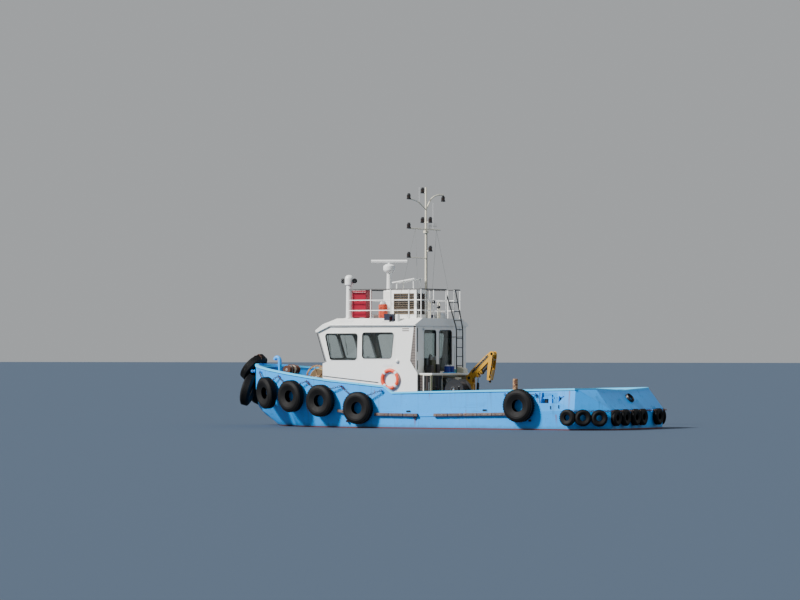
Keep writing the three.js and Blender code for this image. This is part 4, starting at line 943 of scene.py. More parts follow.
def bulwark_brackets():
    piece = Piece("bulwark_brackets")
    for x in BRACKETS:
        n = outward(x)
        foot, head = on_bulwark(x, along(HEAD, x, 2) - along(DECK, x, 2) - 0.004), on_bulwark(x, 0.07)
        corners = [foot - n * 0.048, head - n * 0.048, head - n * 0.10,
            foot - n * 0.30 + Vector((0, 0, 0.05)), foot - n * 0.30]
        piece.plate(corners, 0.012, "hull", 0.002)
    piece.mirror()
    for y in (-1.3, -0.45, 0.45, 1.3):
        piece.plate([(-7.40, y, 0.668), (-6.96, y, 1.22), (-6.90, y, 1.22), (-7.10, y, 0.668)], 0.012,
            "hull", 0.002)
    piece.done()


def belting(side):
    """Rubber lengths bolted on a flat bar along the deck edge."""
    piece = Piece("belting_rubber_" + side)
    spots = []
    first, last, length = -4.15, 2.38, 0.55
    for start, end in ((first, -1.42), (-0.83, 0.82), (1.96, 2.26)):
        count = max(1, round((end - start) / length))
        pitch = (end - start) / count
        for k in range(count):
            x0, x1 = start + k * pitch + 0.006, start + (k + 1) * pitch - 0.006
            verts = []
            for x in (x0, x1):
                y, z = along(DECK, x, 1), along(DECK, x, 2) - 0.06
                verts += [(x, y + 0.013, z - 0.055), (x, y + 0.09, z - 0.045), (x, y + 0.09, z + 0.045),
                    (x, y + 0.013, z + 0.055)]
            piece.solid(verts, capped(4), "belting", 0.016, 3)
            for x in (x0 + pitch * 0.25, x0 + pitch * 0.75):
                spots.append(((x, along(DECK, x, 1) + 0.088, along(DECK, x, 2) - 0.06), PORT))
    xs = [first] + [row[0] for row in DECK if first < row[0] < last] + [last]
    for x0, x1 in zip(xs, xs[1:]):
        verts = []
        for x in (x0, x1):
            y, z = along(DECK, x, 1), along(DECK, x, 2) - 0.06
            verts += [(x, y, z - 0.04), (x, y + 0.012, z - 0.04), (x, y + 0.012, z + 0.04), (x, y, z + 0.04)]
        piece.solid(verts, capped(4), "blue")
    heads(piece, spots, "rust", 0.020, 0.014)
    if side == "starboard":
        piece.flip()
    piece.done(replaces=("belting_" + side,))


# Slots at deck level and outlets in the side. Columns: x, z, half length, half height.
SCUPPERS = [(-5.706, 0.72, 0.022, 0.06), (-6.003, 0.75, 0.022, 0.06), (-3.30, 0.62, 0.085, 0.03),
    (-0.45, 0.56, 0.085, 0.03)]
OUTLETS = [(-0.695, 0.345, 0.05), (-4.95, 0.30, 0.035), (1.9, 0.22, 0.04)]


def hull_fittings():
    piece = Piece("hull_fittings")
    for x, z, half, high in SCUPPERS:
        place = flat((x, 2.600, z), AFT, UP)
        corners = [(-half, -high), (half, -high), (half, high), (-half, high)]
        round_by = min(half, high)
        outer, inner = rounded(inset(corners, -0.012), round_by + 0.011), rounded(corners, round_by - 0.001)
        ring(piece, outer, inner, (-0.004, 0.008), "blue", place)
        # The slot is closed by a dark sheet: painted shade for the opening.
        verts = [place @ Vector((a, b, c)) for c in (-0.004, 0.003) for a, b in inner]
        piece.add(verts, capped(len(inner)), "gasket")
    for x, z, radius in OUTLETS:
        y = along(DECK, x, 1) - 0.02
        piece.lathe([(radius, -0.02), (radius, 0.045), (radius * 0.72, 0.045), (radius * 0.72, -0.02),
            (radius, -0.02)], (x, y, z), PORT, "rust", 20)
        # A dark disc closes the bore: painted shade.
        piece.lathe([(0, 0), (radius * 0.74, 0), (radius * 0.74, 0.005), (0, 0.005)], (x, y, z), PORT,
            "gasket", 20)
    # Bitts in the mooring ports, painted black: painted shade for the dark seen through the openings.
    for x in (-5.90, -5.45):
        piece.rod((x, 2.36, along(DECK, x, 2) + 0.004), (x, 2.36, 1.02), 0.075, "black", 20, soft=0.01)
        piece.rod((x, 2.36, 1.02), (x, 2.36, 1.05), 0.09, "black", 20, soft=0.01)
    piece.box((-6.05, 2.27, 0.645), (-5.30, 2.45, 0.665), "blue", 0.004)
    piece.mirror()
    # Fairlead in the transom.
    piece.lathe([(0.168, -0.05), (0.168, 0.05), (0.150, 0.075), (0.132, 0.05), (0.132, -0.05),
        (0.168, -0.05)], (-7.20, 0, 1.0), (-0.777, 0, 0.63), "black", 32)
    piece.done()


def deck_gear():
    """Hatches and bolted manholes in the decks."""
    piece = Piece("deck_gear")
    for x, y, half_x, half_y in ((-5.0, 0.0, 0.45, 0.40), (-3.9, 1.25, 0.28, 0.28)):
        z = along(DECK, x, 2)
        piece.box((x - half_x, y - half_y, z - 0.02), (x + half_x, y + half_y, z + 0.075), "blue", 0.012)
        piece.box((x - half_x - 0.02, y - half_y - 0.02, z + 0.07),
            (x + half_x + 0.02, y + half_y + 0.02, z + 0.095), "blue", 0.008)
        for k in (-1, 1):
            hinge, grip = y + k * half_y * 0.6, y + k * half_y * 0.5
            piece.box((x + half_x, hinge - 0.03, z + 0.05), (x + half_x + 0.045, hinge + 0.03, z + 0.105),
                "steel", 0.006)
            piece.tube([(x - half_x + 0.06, grip, z + 0.09), (x - half_x + 0.06, grip, z + 0.13),
                (x - half_x + 0.14, grip, z + 0.13)], 0.009, "steel", 8)
    for x, y in ((-4.2, -1.5), (-2.3, -1.55), (4.9, -0.9)):
        z = along(DECK, x, 2)
        piece.lathe([(0, -0.02), (0.20, -0.02), (0.20, 0.012), (0.17, 0.02), (0, 0.02)], (x, y, z), UP,
            "steel", 32)
        heads(piece, [((x + 0.18 * c, y + 0.18 * s, z + 0.02), UP) for c, s in circle(12)], "steel", 0.012,
            0.014)
    piece.done()


bulwark_brackets()
for side in ("port", "starboard"):
    belting(side)
hull_fittings()
deck_gear()


# ---- Tyres hung as fenders

BIG = (0.532, 0.215, 0.163)
SMALL = (0.268, 0.115, 0.093)

# Half of a tyre's section: shares of its depth in from the tread, and of its half width.
SECTION = [(0.0, 0.0), (0.002, 0.50), (0.008, 0.60), (0.05, 0.72), (0.09, 0.77), (0.14, 0.81), (0.26, 0.94),
    (0.32, 0.985), (0.34, 0.97), (0.48, 0.97), (0.50, 0.93), (0.72, 0.80), (0.86, 0.66), (0.93, 0.62),
    (1.0, 0.58), (1.0, 0.46), (0.90, 0.44), (0.72, 0.58), (0.50, 0.74), (0.30, 0.74), (0.16, 0.60),
    (0.12, 0.30), (0.11, 0.0)]


def tyre(piece, centre, facing, size, finish="tyre"):
    """A tyre: carcass turned from its section, with rows of tread blocks."""
    radius, hole, half = size
    depth = radius - hole
    base = radius - 0.016
    row = [(base - depth * a, half * b) for a, b in SECTION]
    profile = row + [(r, -h) for r, h in reversed(row[1:-1])] + [row[0]]
    sides, count, rows = (56, 40, 4) if radius > 0.4 else (36, 28, 2)
    piece.lathe(profile, centre, facing, finish, sides)
    u, v, w = basis(facing)
    spots = []
    for j in range(rows):
        shift = (j - (rows - 1) / 2) * half * 1.24 / rows
        for c, s in circle(count, math.pi * (j % 2) / count):
            out = u * c + v * s
            spots.append((Vector(centre) + out * (base + 0.001) + w * shift, out, out.cross(w)))
    pitch = TAU * base / count
    grown = grow(BLOCKS, point_cloud(spots), finish, Width=pitch * 0.70, Length=half * 1.02 / rows,
        Height=0.030)
    piece.absorb(grown, finish)


def padeye(piece, foot, out, size=0.045):
    foot, out = Vector(foot), Vector(out).normalized()
    v = basis(out)[1]
    piece.lathe([(0, -0.01), (size * 1.2, -0.01), (size * 1.2, 0.012), (0, 0.012)], foot, out, "blue", 20)
    tip = foot + out * 0.075
    piece.tube([tip + (out * c + v * s) * size * 0.8 for c, s in circle(14)], size * 0.28, "blue", 8, 0, True)
    piece.rod(foot, foot + out * 0.05, size * 0.5, "blue", 12)


# Forward tyres, port side. Columns: centre x, y, z, then the way the tyre faces.
SIDE_TYRES = [(1.370, 2.790, 0.660, 0, 1, 0), (2.857, 2.735, 0.890, 0.1, 1, -0.02),
    (4.119, 2.555, 1.030, 0.25, 1, -0.05), (5.368, 2.110, 1.130, 0.55, 1, -0.1)]
PADEYES = [0.56, 2.08, 3.475, 4.76, 5.86]


def side_fenders(side):
    piece = Piece("fender_tyres_forward_" + side)
    paths = []
    for x, y, z, *facing in SIDE_TYRES:
        tyre(piece, (x, y, z), facing, BIG)
    for i, x in enumerate(PADEYES):
        spot, out = on_bulwark(x, 0.17), outward(x)
        padeye(piece, spot, out)
        for k in (i - 1, i):
            if 0 <= k < len(SIDE_TYRES):
                tx, ty, tz, fx, fy, _ = SIDE_TYRES[k]
                length = math.hypot(fx, fy)
                lean = math.copysign(0.21, spot.x - tx)
                paths.append([spot + out * 0.09, (tx + lean * fy / length, ty - lean * fx / length,
                    tz + 0.36)])
    chains(piece, paths)
    if side == "starboard":
        piece.flip()
    piece.done(replaces=("tyres_forward_" + side,))


def aft_fender(side):
    piece = Piece("fender_tyre_aft_" + side)
    x, y, z = -4.636, 2.775, 0.777
    tyre(piece, (x, y, z), PORT, BIG)
    paths = []
    for px in (-5.19, -4.08):
        padeye(piece, (px, 2.60, 1.14), PORT)
        paths.append([(px, 2.665, 1.14), (x + math.copysign(0.26, px - x), 2.745, 1.13)])
    chains(piece, paths)
    if side == "starboard":
        piece.flip()
    piece.done(replaces=("tyre_aft_" + side,))


STEM_TYRES = [(7.237, 0, 1.978, 0.74, 0.05, 0.67), (7.170, 0.47, 1.20, 0.89, 0.34, 0.25),
    (7.170, -0.47, 1.20, 0.89, -0.34, 0.25)]


def stem_fenders():
    piece = Piece("fender_tyres_stem")
    for i, (x, y, z, *facing) in enumerate(STEM_TYRES):
        tyre(piece, (x, y, z), facing, BIG, "tyre" if i else "worn_tyre")
    paths = [[(7.14, 0.40, 1.45), (7.14, -0.40, 1.45)]]
    for y in (-0.33, 0.33):
        paths.append([(7.20, y, 1.80), (7.12, y * 1.2, 1.50)])
        paths.append([(7.15, y * 0.9, 1.85), (6.80, y * 2.2, 1.85)])
        padeye(piece, (6.74, y * 2.2, 1.85), (0.8, math.copysign(0.5, y), 0))
    # Chain laid over the top tyre, from the head of the bulwark round its tread.
    arch = []
    for k in range(15):
        a = math.radians(-20 + 170 * k / 14)
        arch.append(Vector((7.237, 0.16, 1.978)) + Vector((-0.67, 0, 0.74)) * 0.545 * math.sin(a)
            + Vector((0.74, 0, 0.67)) * 0.19 * math.cos(a))
    chains(piece, paths + [arch])
    piece.done(replaces=("tyres_stem",))


QUARTER_TYRES = [(-6.371, 2.712, 0.410, 0, 1, 0), (-6.829, 2.530, 0.400, -0.79, 1, 0),
    (-7.243, 2.201, 0.390, -0.79, 1, 0)]
TRANSOM_TYRES = [1.66, 1.01, 0.30, -0.21, -1.34]
TRANSOM_X = -7.575


def stern_fenders():
    piece = Piece("fender_tyres_stern")
    for x, y, z, *facing in QUARTER_TYRES:
        tyre(piece, (x, y, z), facing, SMALL)
    swag = [(-6.18, 2.66, 0.61)] + [(x, y, z + 0.215) for x, y, z, *_ in QUARTER_TYRES]
    swag += [(TRANSOM_X, 1.93, 0.61), (TRANSOM_X, 0.0, 0.61)]
    padeye(piece, (-6.18, 2.60, 0.61), PORT, size=0.035)
    padeye(piece, (-7.485, 0.90, 0.60), AFT, size=0.035)
    chains(piece, [swag], 0.024, 0.009, 0.062)
    piece.mirror()
    for y in TRANSOM_TYRES:
        tyre(piece, (TRANSOM_X, y, 0.40), AFT, SMALL)
    piece.done(replaces=("tyres_stern",))


for side in ("port", "starboard"):
    side_fenders(side)
    aft_fender(side)
stem_fenders()
stern_fenders()


# ---- Wheelhouse

WALL_Y = 1.70
AFT_WALL = -0.2
SIDE_WINDOWS = [[(3.33, 3.12), (2.03, 3.12), (2.07, 2.23), (3.11, 2.23)],
    [(1.86, 3.15), (0.63, 3.15), (0.73, 2.28), (1.87, 2.28)]]
FRONT_WINDOWS = [(-1.52, -0.60), (-0.49, 0.49), (0.60, 1.52)]
AFT_WINDOWS = [(0.37, 1.17), (-0.67, 0.17)]
SILL, BROW = Vector((3.24, 0, 2.17)), Vector((3.57, 0, 3.16))
UP_FRONT = (BROW - SILL).normalized()


def window(piece, outline, place):
    """A white surround that rounds the opening's corners, and the rubber gasket in it."""
    edge = rounded(inset(outline, 0.003), 0.10)
    ring(piece, rounded(inset(outline, -0.022), 0.03), edge, (-0.054, 0.005), "white", place)
    ring(piece, rounded(inset(outline, -0.004), 0.105), rounded(inset(outline, 0.014), 0.095),
        (-0.057, 0.009), "seal", place)


def wiper(piece, pivot, tip, up):
    """An arm on its spindle, with a blade across its end."""
    piece.rod(pivot - up * 0.02, pivot + up * 0.03, 0.02, "panel", 12, soft=0.004)
    piece.tube([pivot + up * 0.028, (pivot + tip) / 2 + up * 0.040, tip + up * 0.02], 0.006, "panel", 6, 3)
    blade = (tip - pivot).normalized()
    piece.tube([tip - blade * 0.22 + up * 0.014, tip + blade * 0.22 + up * 0.014], 0.007, "gasket", 6)


def house_walls():
    for side, inward, share in (("port", STARBOARD, 0.9), ("starboard", PORT, 0.9), ("front", AFT, 0.5),
            ("aft", AHEAD, 0.9)):
        dressed_copy("house_" + side, "wall_" + side, "white",
            pick=by_facing(inward, "lining", "white", share))
    dressed_copy("house_floor", "wheelhouse_floor", "interior",
        pick=by_facing(UP, "deck", "interior"))
    dressed_copy("house_roof", "wheelhouse_roof", "white", angle=14,
        pick=by_facing(DOWN, "lining", "white"))


def house_windows():
    piece = Piece("window_frames")
    for outline in SIDE_WINDOWS:
        window(piece, [(-x, z) for x, z in outline], flat((0, WALL_Y, 0), AFT, UP))
    piece.mirror()
    for y0, y1 in FRONT_WINDOWS:
        t0, t1 = (2.27 - SILL.z) / UP_FRONT.z, (3.08 - SILL.z) / UP_FRONT.z
        window(piece, [(y0, t0), (y1, t0), (y1, t1), (y0, t1)], flat(SILL, PORT, UP_FRONT))
    for y0, y1 in AFT_WINDOWS:
        window(piece, [(-y0, 1.87), (-y0, 3.23), (-y1, 3.23), (-y1, 1.87)],
            flat((AFT_WALL, 0, 0), STARBOARD, UP))
    piece.done()

    arms = Piece("wipers")
    out = Vector(PORT).cross(UP_FRONT)
    for y0, y1 in FRONT_WINDOWS:
        middle = (y0 + y1) / 2
        pivot = SILL + UP_FRONT * 0.985 + Vector((0, middle, 0)) + out * 0.004
        arms_tip = SILL + UP_FRONT * 0.45 + Vector((0, middle + 0.16, 0)) + out * 0.004
        wiper(arms, pivot, arms_tip, out)
    arms.done()


def louvred_edge(piece):
    """Louvred panel set on the aft edge of the wall: a dark backing sheet, painted shade behind the blades,
    and blades whose dark paint is partly their own colour and partly painted shade.
    """
    edge = [(1.884, -0.195), (2.21, 0.02), (3.40, -0.13)]
    panel = [(-0.199, 1.884), (-0.195, 1.884), (0.02, 2.21), (-0.122, 3.34), (-0.199, 3.34)]
    # Dark backing sheet: painted shade behind the blades.
    piece.prism(panel, "y", (WALL_Y + 0.0005, WALL_Y + 0.004), "gasket", 0)
    pitch = 0.052
    for k in range(28):
        z = 1.925 + pitch * k
        far = along(edge, z, 1) - 0.004
        section = [(0.003, 0.026), (0.014, -0.002), (0.014, 0.004), (0.003, 0.032)]
        verts = [(x, WALL_Y + out, z + up) for x in (-0.199, far) for out, up in section]
        piece.solid(verts, capped(4), "dark_louvre")
    line = [(x, WALL_Y + 0.006, z) for z, x in edge[1:]]
    piece.tube([line[0], (line[1][0] + 0.005, WALL_Y + 0.006, 3.345)], 0.008, "white", 8)


def house_details():
    """Louvre and vents at the aft edge, boards, lamps, sidelights, handrails and rain gutter."""
    piece = Piece("house_details")
    for sign in (1, -1):
        fitting = Piece("side")
        if sign > 0:
            louvred_edge(fitting)
        # Small vents in the wall aft of the windows: dark boxes, painted shade for their openings.
        for z in (3.20, 3.265):
            fitting.box((0.06, WALL_Y - 0.001, z - 0.014), (0.32, WALL_Y + 0.005, z + 0.014), "dark_louvre",
                0.002)
        # Blank board and bulkhead lamp.
        fitting.box((0.70, WALL_Y - 0.002, 2.005), (1.06, WALL_Y + 0.006, 2.10), "lid", 0.003)
        fitting.lathe([(0, -0.002), (0.07, -0.002), (0.07, 0.02), (0.055, 0.045), (0.03, 0.062), (0, 0.066)],
            (0.50, WALL_Y, 2.19), PORT, "lid", 24)
        if sign < 0:
            fitting.flip()
        piece.join(fitting)
    # Gutter along the roof's edge.
    piece.tube([(3.655, -WALL_Y, 3.185), (3.655, WALL_Y, 3.185)], 0.014, "white", 8)
    for sign in (1, -1):
        piece.tube([(3.10, sign * 1.768, 3.40), (-0.22, sign * 1.768, 3.40)], 0.014, "white", 8)
    # Aft wall: dark strips by the port edge, painted shade for two slots, blank board, lamp.
    for z0, z1 in ((1.92, 2.22), (2.50, 3.30)):
        piece.box((-0.207, 1.575, z0), (-0.198, 1.625, z1), "gasket", 0.002)
    piece.box((-0.212, 1.640, 1.86), (-0.198, 1.712, 3.34), "white", 0.004)
    piece.box((-0.208, -0.02, 3.285), (-0.198, 0.56, 3.36), "lid", 0.003)
    for y in (1.21, -1.21):
        piece.lathe([(0, 0), (0.055, 0), (0.055, 0.03), (0.04, 0.06), (0, 0.07)], (AFT_WALL, y, 3.27), AFT,
            "lid", 20)
    for y in (-1.3, -0.75):
        piece.tube([(AFT_WALL, y, 1.95), (-0.27, y, 1.97), (-0.27, y, 2.75), (AFT_WALL, y, 2.77)], 0.012,
            "white", 8)
    # Sidelights in their screens at the roof's edge.
    for sign, lens in ((1, "red_lens"), (-1, "green_lens")):
        for reach, x1, z1 in ((1.48, 1.15, 3.76), (1.60, 0.76, 3.76), (1.60, 1.15, 3.50)):
            low, high = sorted((sign * 1.45, sign * reach))
            piece.box((0.73, low, 3.47), (x1, high, z1), "navy", 0.003)
        for z0, z1, radius, finish, soft in ((3.50, 3.56, 0.05, "black", 0.006),
                (3.56, 3.66, 0.042, lens, 0.004), (3.66, 3.70, 0.05, "black", 0.008)):
            piece.rod((0.86, sign * 1.54, z0), (0.86, sign * 1.54, z1), radius, finish, 20, soft=soft)
        piece.lathe([(0, -0.06), (0.08, -0.06), (0.08, 0.12), (0.055, 0.19), (0, 0.20)],
            (0.60, sign * 1.52, 3.55), UP, "lid", 20)
    # Blank plate on the roof's slope, a strip along the port wall and a black frame at the front corner.
    slope = Vector((0, 0.46, -0.20)).normalized()
    out = Vector((0, 0.20, 0.46)).normalized()
    middle = Vector((2.59, 1.53, 3.52))
    half_x, half_y = Vector((0.26, 0, 0)), slope * 0.09
    around = ((-1, -1), (1, -1), (1, 1), (-1, 1))
    corners = [middle + out * 0.004 + half_x * a + half_y * b for a, b in around]
    piece.plate(corners, 0.006, "lid", 0.002)
    piece.tube([(3.385, WALL_Y + 0.006, 1.70), (1.24, WALL_Y + 0.006, 1.49)], 0.014, "gasket", 8)
    ahead = Vector(PORT).cross(UP_FRONT)
    corner = Vector((0, 1.66, 0))
    top, foot = BROW + corner + UP_FRONT * 0.02, SILL + corner + UP_FRONT * 0.06
    piece.tube([top + ahead * 0.005, top + ahead * 0.085, foot + ahead * 0.085, foot + ahead * 0.005], 0.011,
        "gasket", 8)
    piece.box(top + Vector((-0.02, -0.05, -0.03)), top + Vector((0.075, 0.03, 0.03)), "white", 0.006)
    piece.done()


def door():
    """Weathertight door: pressed panel, dogs, handle and a round port with its glass."""
    piece = Piece("door_leaf")
    y = -(WALL_Y + 0.003)
    port_x, port_z, bar_z, hinge_x = 0.32, 2.05, 1.50, 0.675
    place = flat((0, y - 0.040, 0), AHEAD, UP)
    outline = rounded([(-0.02, 0.62), (0.645, 0.62), (0.645, 2.46), (-0.02, 2.46)], 0.07, 8)
    hole = [(port_x + 0.13 * c, port_z + 0.13 * s) for c, s in circle(len(outline), -2.2)]
    ring(piece, outline, hole, (-0.040, 0.0), "white", place)
    ring(piece, inset(outline, 0.0), inset(outline, 0.018), (0.0, 0.004), "white", place)
    for z0, z1 in ((0.72, 1.40), (1.52, 1.86)):
        panel = [(0.09, z0), (0.55, z0), (0.55, z1), (0.09, z1)]
        ring(piece, rounded(panel, 0.05), rounded(inset(panel, 0.022), 0.035), (-0.001, 0.010), "white",
            place)
    disc = (port_x, y - 0.02, port_z)
    piece.lathe([(0.128, -0.03), (0.165, -0.03), (0.165, 0.022), (0.150, 0.030), (0.118, 0.030),
        (0.118, 0.0), (0.128, -0.01), (0.128, -0.03)], disc, STARBOARD, "chrome", 36)
    piece.lathe([(0, -0.006), (0.120, -0.006), (0.120, 0.006), (0, 0.006)], disc, STARBOARD, "glass", 36)
    heads(piece, [((port_x + 0.142 * c, y - 0.052, port_z + 0.142 * s), STARBOARD) for c, s in circle(8)],
        "chrome", 0.010, 0.010)
    piece.tube([(0.09, y - 0.02, bar_z), (0.09, y - 0.075, bar_z), (0.23, y - 0.080, bar_z)], 0.013,
        "chrome", 12, 4)
    piece.rod((0.09, y - 0.038, bar_z), (0.09, y - 0.050, bar_z), 0.032, "chrome", 20, soft=0.003)
    for z in (0.85, 2.25):
        piece.rod((0.05, y - 0.036, z), (0.05, y - 0.065, z), 0.018, "steel", 14, soft=0.003)
        piece.box((-0.015, y - 0.062, z - 0.012), (0.10, y - 0.048, z + 0.012), "steel", 0.004)
    for z in (0.90, 1.50, 2.15):
        piece.rod((hinge_x, y - 0.02, z - 0.0617), (hinge_x, y - 0.02, z + 0.0617), 0.016, "steel", 16)
        piece.box((0.60, y - 0.046, z - 0.05), (hinge_x, y - 0.030, z + 0.05), "steel", 0.003)
    piece.done("door", replaces=("door_starboard",))


def ring_buoy():
    """Lifebuoy on its bracket: foam ring with bands and a grab line."""
    piece = Piece("lifebuoy_ring")
    centre = Vector((0.76, WALL_Y + 0.052, 1.60))
    turns, sides = 48, 16
    verts, faces = [], []
    for c, s in circle(turns):
        for across, over in circle(sides):
            reach = 0.295 + 0.062 * across
            verts.append(centre + Vector((reach * c, 0.048 * over, reach * s)))
    for k in range(turns):
        for m in range(sides):
            k2, m2 = (k + 1) % turns, (m + 1) % sides
            faces.append((k * sides + m, k2 * sides + m, k2 * sides + m2, k * sides + m2))
    piece.add(verts, faces, "rescue")
    band = piece.mark("lid")
    piece.marks = [band if (f // sides) % 12 in (5, 6) else mark for f, mark in enumerate(piece.marks)]
    line = []
    for k, (c, s) in enumerate(circle(32)):
        reach = 0.352 + 0.004 * math.cos(math.pi * k / 4)
        line.append(centre + Vector((c * reach, 0.012, s * reach)))
    piece.tube(line, 0.006, "rope_white", 8, 2, True)
    piece.box((0.56, WALL_Y + 0.0005, 1.302), (0.96, WALL_Y + 0.012, 1.338), "steel", 0.003)
    for x in (0.60, 0.92):
        piece.tube([(x, WALL_Y + 0.006, 1.32), (x, WALL_Y + 0.10, 1.31), (x, WALL_Y + 0.105, 1.36)], 0.008,
            "steel", 8, 4)
    piece.done(replaces=("lifebuoy",))


house_walls()
house_windows()
house_details()
door()
ring_buoy()


# ---- Roof gear and mast

ROOF_Z = 3.62
RAIL_HALF, RAIL_FRONT, RAIL_AFT, RAIL_TOP = 1.30, 2.65, -0.19, 4.58
LADDER_Y = (-0.39, -0.81)
LADDER_TOPS = (-0.12, -0.27)


def corner_path(points, radius):
    """A line with its corners eased, for bent tube."""
    points = [Vector(p) for p in points]
    out = [points[0]]
    for a, b, c in zip(points, points[1:], points[2:]):
        into, away = (a - b).normalized(), (c - b).normalized()
        start, end = b + into * radius, b + away * radius
        out += [start, (start + end) / 4 + b / 2, end]
    return out + [points[-1]]


def rail_post(piece, x, y):
    piece.rod((x, y, ROOF_Z), (x, y, RAIL_TOP), 0.019, "white", 14)
    piece.rod((x, y, ROOF_Z), (x, y, ROOF_Z + 0.012), 0.045, "white", 16, soft=0.003)


def roof_rail():
    """White posts and lower rails, and a black top rail."""
    piece = Piece("roof_railing")
    half, front, aft, top = RAIL_HALF, RAIL_FRONT, RAIL_AFT, RAIL_TOP
    for side in (-1, 1):
        y = side * half
        for z in (4.22, 3.88):
            piece.rod((front, y, z), (aft, y, z), 0.014, "white", 12)
        for x in (front - 0.02, 1.77, 1.0, 0.3, aft + 0.02):
            rail_post(piece, x, y)
    piece.rod((front, -half, 4.22), (front, half, 4.22), 0.014, "white", 12)
    inner, outer = LADDER_Y[0] + 0.06, LADDER_Y[1] - 0.06
    for z in (4.22, 3.88):
        piece.rod((aft, half, z), (aft, inner, z), 0.014, "white", 12)
        piece.rod((aft, outer, z), (aft, -half, z), 0.014, "white", 12)
    for y in (inner, outer, 0.5):
        rail_post(piece, aft, y)
    piece.tube(corner_path([(aft, inner, top), (aft, half, top), (front, half, top), (front, -half, top),
        (aft, -half, top), (aft, outer, top)], 0.10), 0.0195, "black", 14)
    piece.done(replaces=("roof_rail",))


def ladder():
    piece = Piece("roof_ladder_black")
    lines = [[(1.8, -0.55), (3.28, -0.55), (4.57, x)] for x in LADDER_TOPS]
    for y, line in zip(LADDER_Y, lines):
        piece.tube(corner_path([(x, y, z) for z, x in line], 0.12), 0.021, "black", 12)
        piece.box((-0.60, y - 0.04, 1.8005), (-0.50, y + 0.04, 1.812), "black", 0.002)
        piece.rod((-0.55, y, 3.0), (-0.205, y, 3.0), 0.012, "black", 10)
    for k in range(8):
        z = 2.05 + 0.30 * k
        a, b = ((along(line, z, 1), y, z) for y, line in zip(LADDER_Y, lines))
        piece.rod(a, b, 0.0135, "black", 10)
    piece.done(replaces=("roof_ladder",))


# Louvred faces: a point of the face and the way along it, the face from and to, its opening, finish.
VENT_FACES = [
    ((0, 0.75, 0), AFT, (-1.30, -0.33), (-1.21, -0.42), "brown"),
    # The aft face's blades take the darker louvre paint, a painted shade copy of the port face's brown.
    ((0.33, 0, 0), STARBOARD, (-0.745, -0.10), (-0.68, -0.17), "dark_louvre"),
]


def vent_housing():
    """Housing with louvres in its port and aft faces, and the tilted panel over it."""
    piece = Piece("vent_housing_louvred")
    # Dark core inside the housing, seen between the blades: painted shade.
    piece.box((0.385, 0.114, ROOF_Z), (1.283, 0.695, 4.540), "panel", 0)
    low, high = 3.75, 4.45
    for origin, way, (left, right), (first, last), finish in VENT_FACES:
        place = flat(origin, way, UP)
        outline = [(left, ROOF_Z), (right, ROOF_Z), (right, 4.55), (left, 4.55)]
        opening = [(first, low), (last, low), (last, high), (first, high)]
        ring(piece, outline, opening, (-0.060, 0.0), "white", place)
        louvre(piece, place @ Vector((first, low, -0.028)), way, last - first, high - low, 10, finish)
    piece.box((1.285, 0.10, ROOF_Z), (1.30, 0.745, 4.55), "white", 0.003)
    piece.box((0.33, 0.10, ROOF_Z), (1.30, 0.112, 4.55), "white", 0.003)
    piece.box((0.325, 0.095, 4.545), (1.30, 0.755, 4.565), "white", 0.006)
    for x, z in ((0.50, 4.93), (1.15, 4.85)):
        for y in (0.20, 0.65):
            piece.rod((x, y, 4.55), (x, y, z), 0.022, "white", 12)
            piece.rod((x, y, 4.56), (x, y, 4.572), 0.04, "steel", 14, soft=0.002)
    turn = Matrix.Rotation(math.atan2(0.13, 0.87), 3, "Y")
    piece.box((0.43, 0.13, 4.857), (1.30, 0.72, 4.893), "white", 0.008, turn)
    piece.box((0.46, 0.16, 4.884), (1.27, 0.69, 4.897), "panel", 0.003, turn)
    piece.done(replaces=("vent_housing",))


def radar():
    piece = Piece("radar_post")
    x, y = 1.83, 0.0
    piece.box((x - 0.23, y - 0.20, ROOF_Z), (x + 0.23, y + 0.20, 3.80), "white", 0.015)
    piece.box((x - 0.15, y - 0.15, 3.79), (x + 0.15, y + 0.15, 4.56), "white", 0.03)
    piece.lathe([(0, 4.55), (0.09, 4.55), (0.088, 4.75), (0.080, 5.12), (0.10, 5.15), (0.17, 5.20),
        (0.192, 5.245), (0.199, 5.27), (0.199, 5.37), (0.190, 5.395), (0.150, 5.42), (0.110, 5.45),
        (0, 5.45)], (x, y, 0), UP, "lid", 40)
    for k in (-1, 1):
        piece.plate([(x + k * 0.15, y + 0.01, 3.80), (x + k * 0.22, y + 0.01, 3.80),
            (x + k * 0.15, y + 0.01, 4.10)], 0.01, "white")
    piece.done(replaces=("radar_pedestal",))
    bar = Piece("radar_bar")
    bar.lathe([(0, 5.4503), (0.058, 5.4503), (0.058, 5.49), (0.045, 5.50), (0, 5.50)], (0, 0, 0), UP, "lid",
        32)
    section = rounded([(-0.045, 5.49), (0.045, 5.49), (0.054, 5.555), (0.004, 5.597), (-0.004, 5.597),
        (-0.054, 5.555)], 0.014, 4)
    bar.prism(section, "y", (-0.604, 0.604), "lid", 0.006)
    bar.prism([(a * 1.02, b) for a, b in section], "y", (-0.07, 0.07), "lid", 0.003)
    turn = Matrix.Rotation(math.radians(-60), 3, "Z")
    bar.verts = [turn @ v + Vector((x, y, 0)) for v in bar.verts]
    bar.done("radar_scanner", replaces=("radar_scanner",))


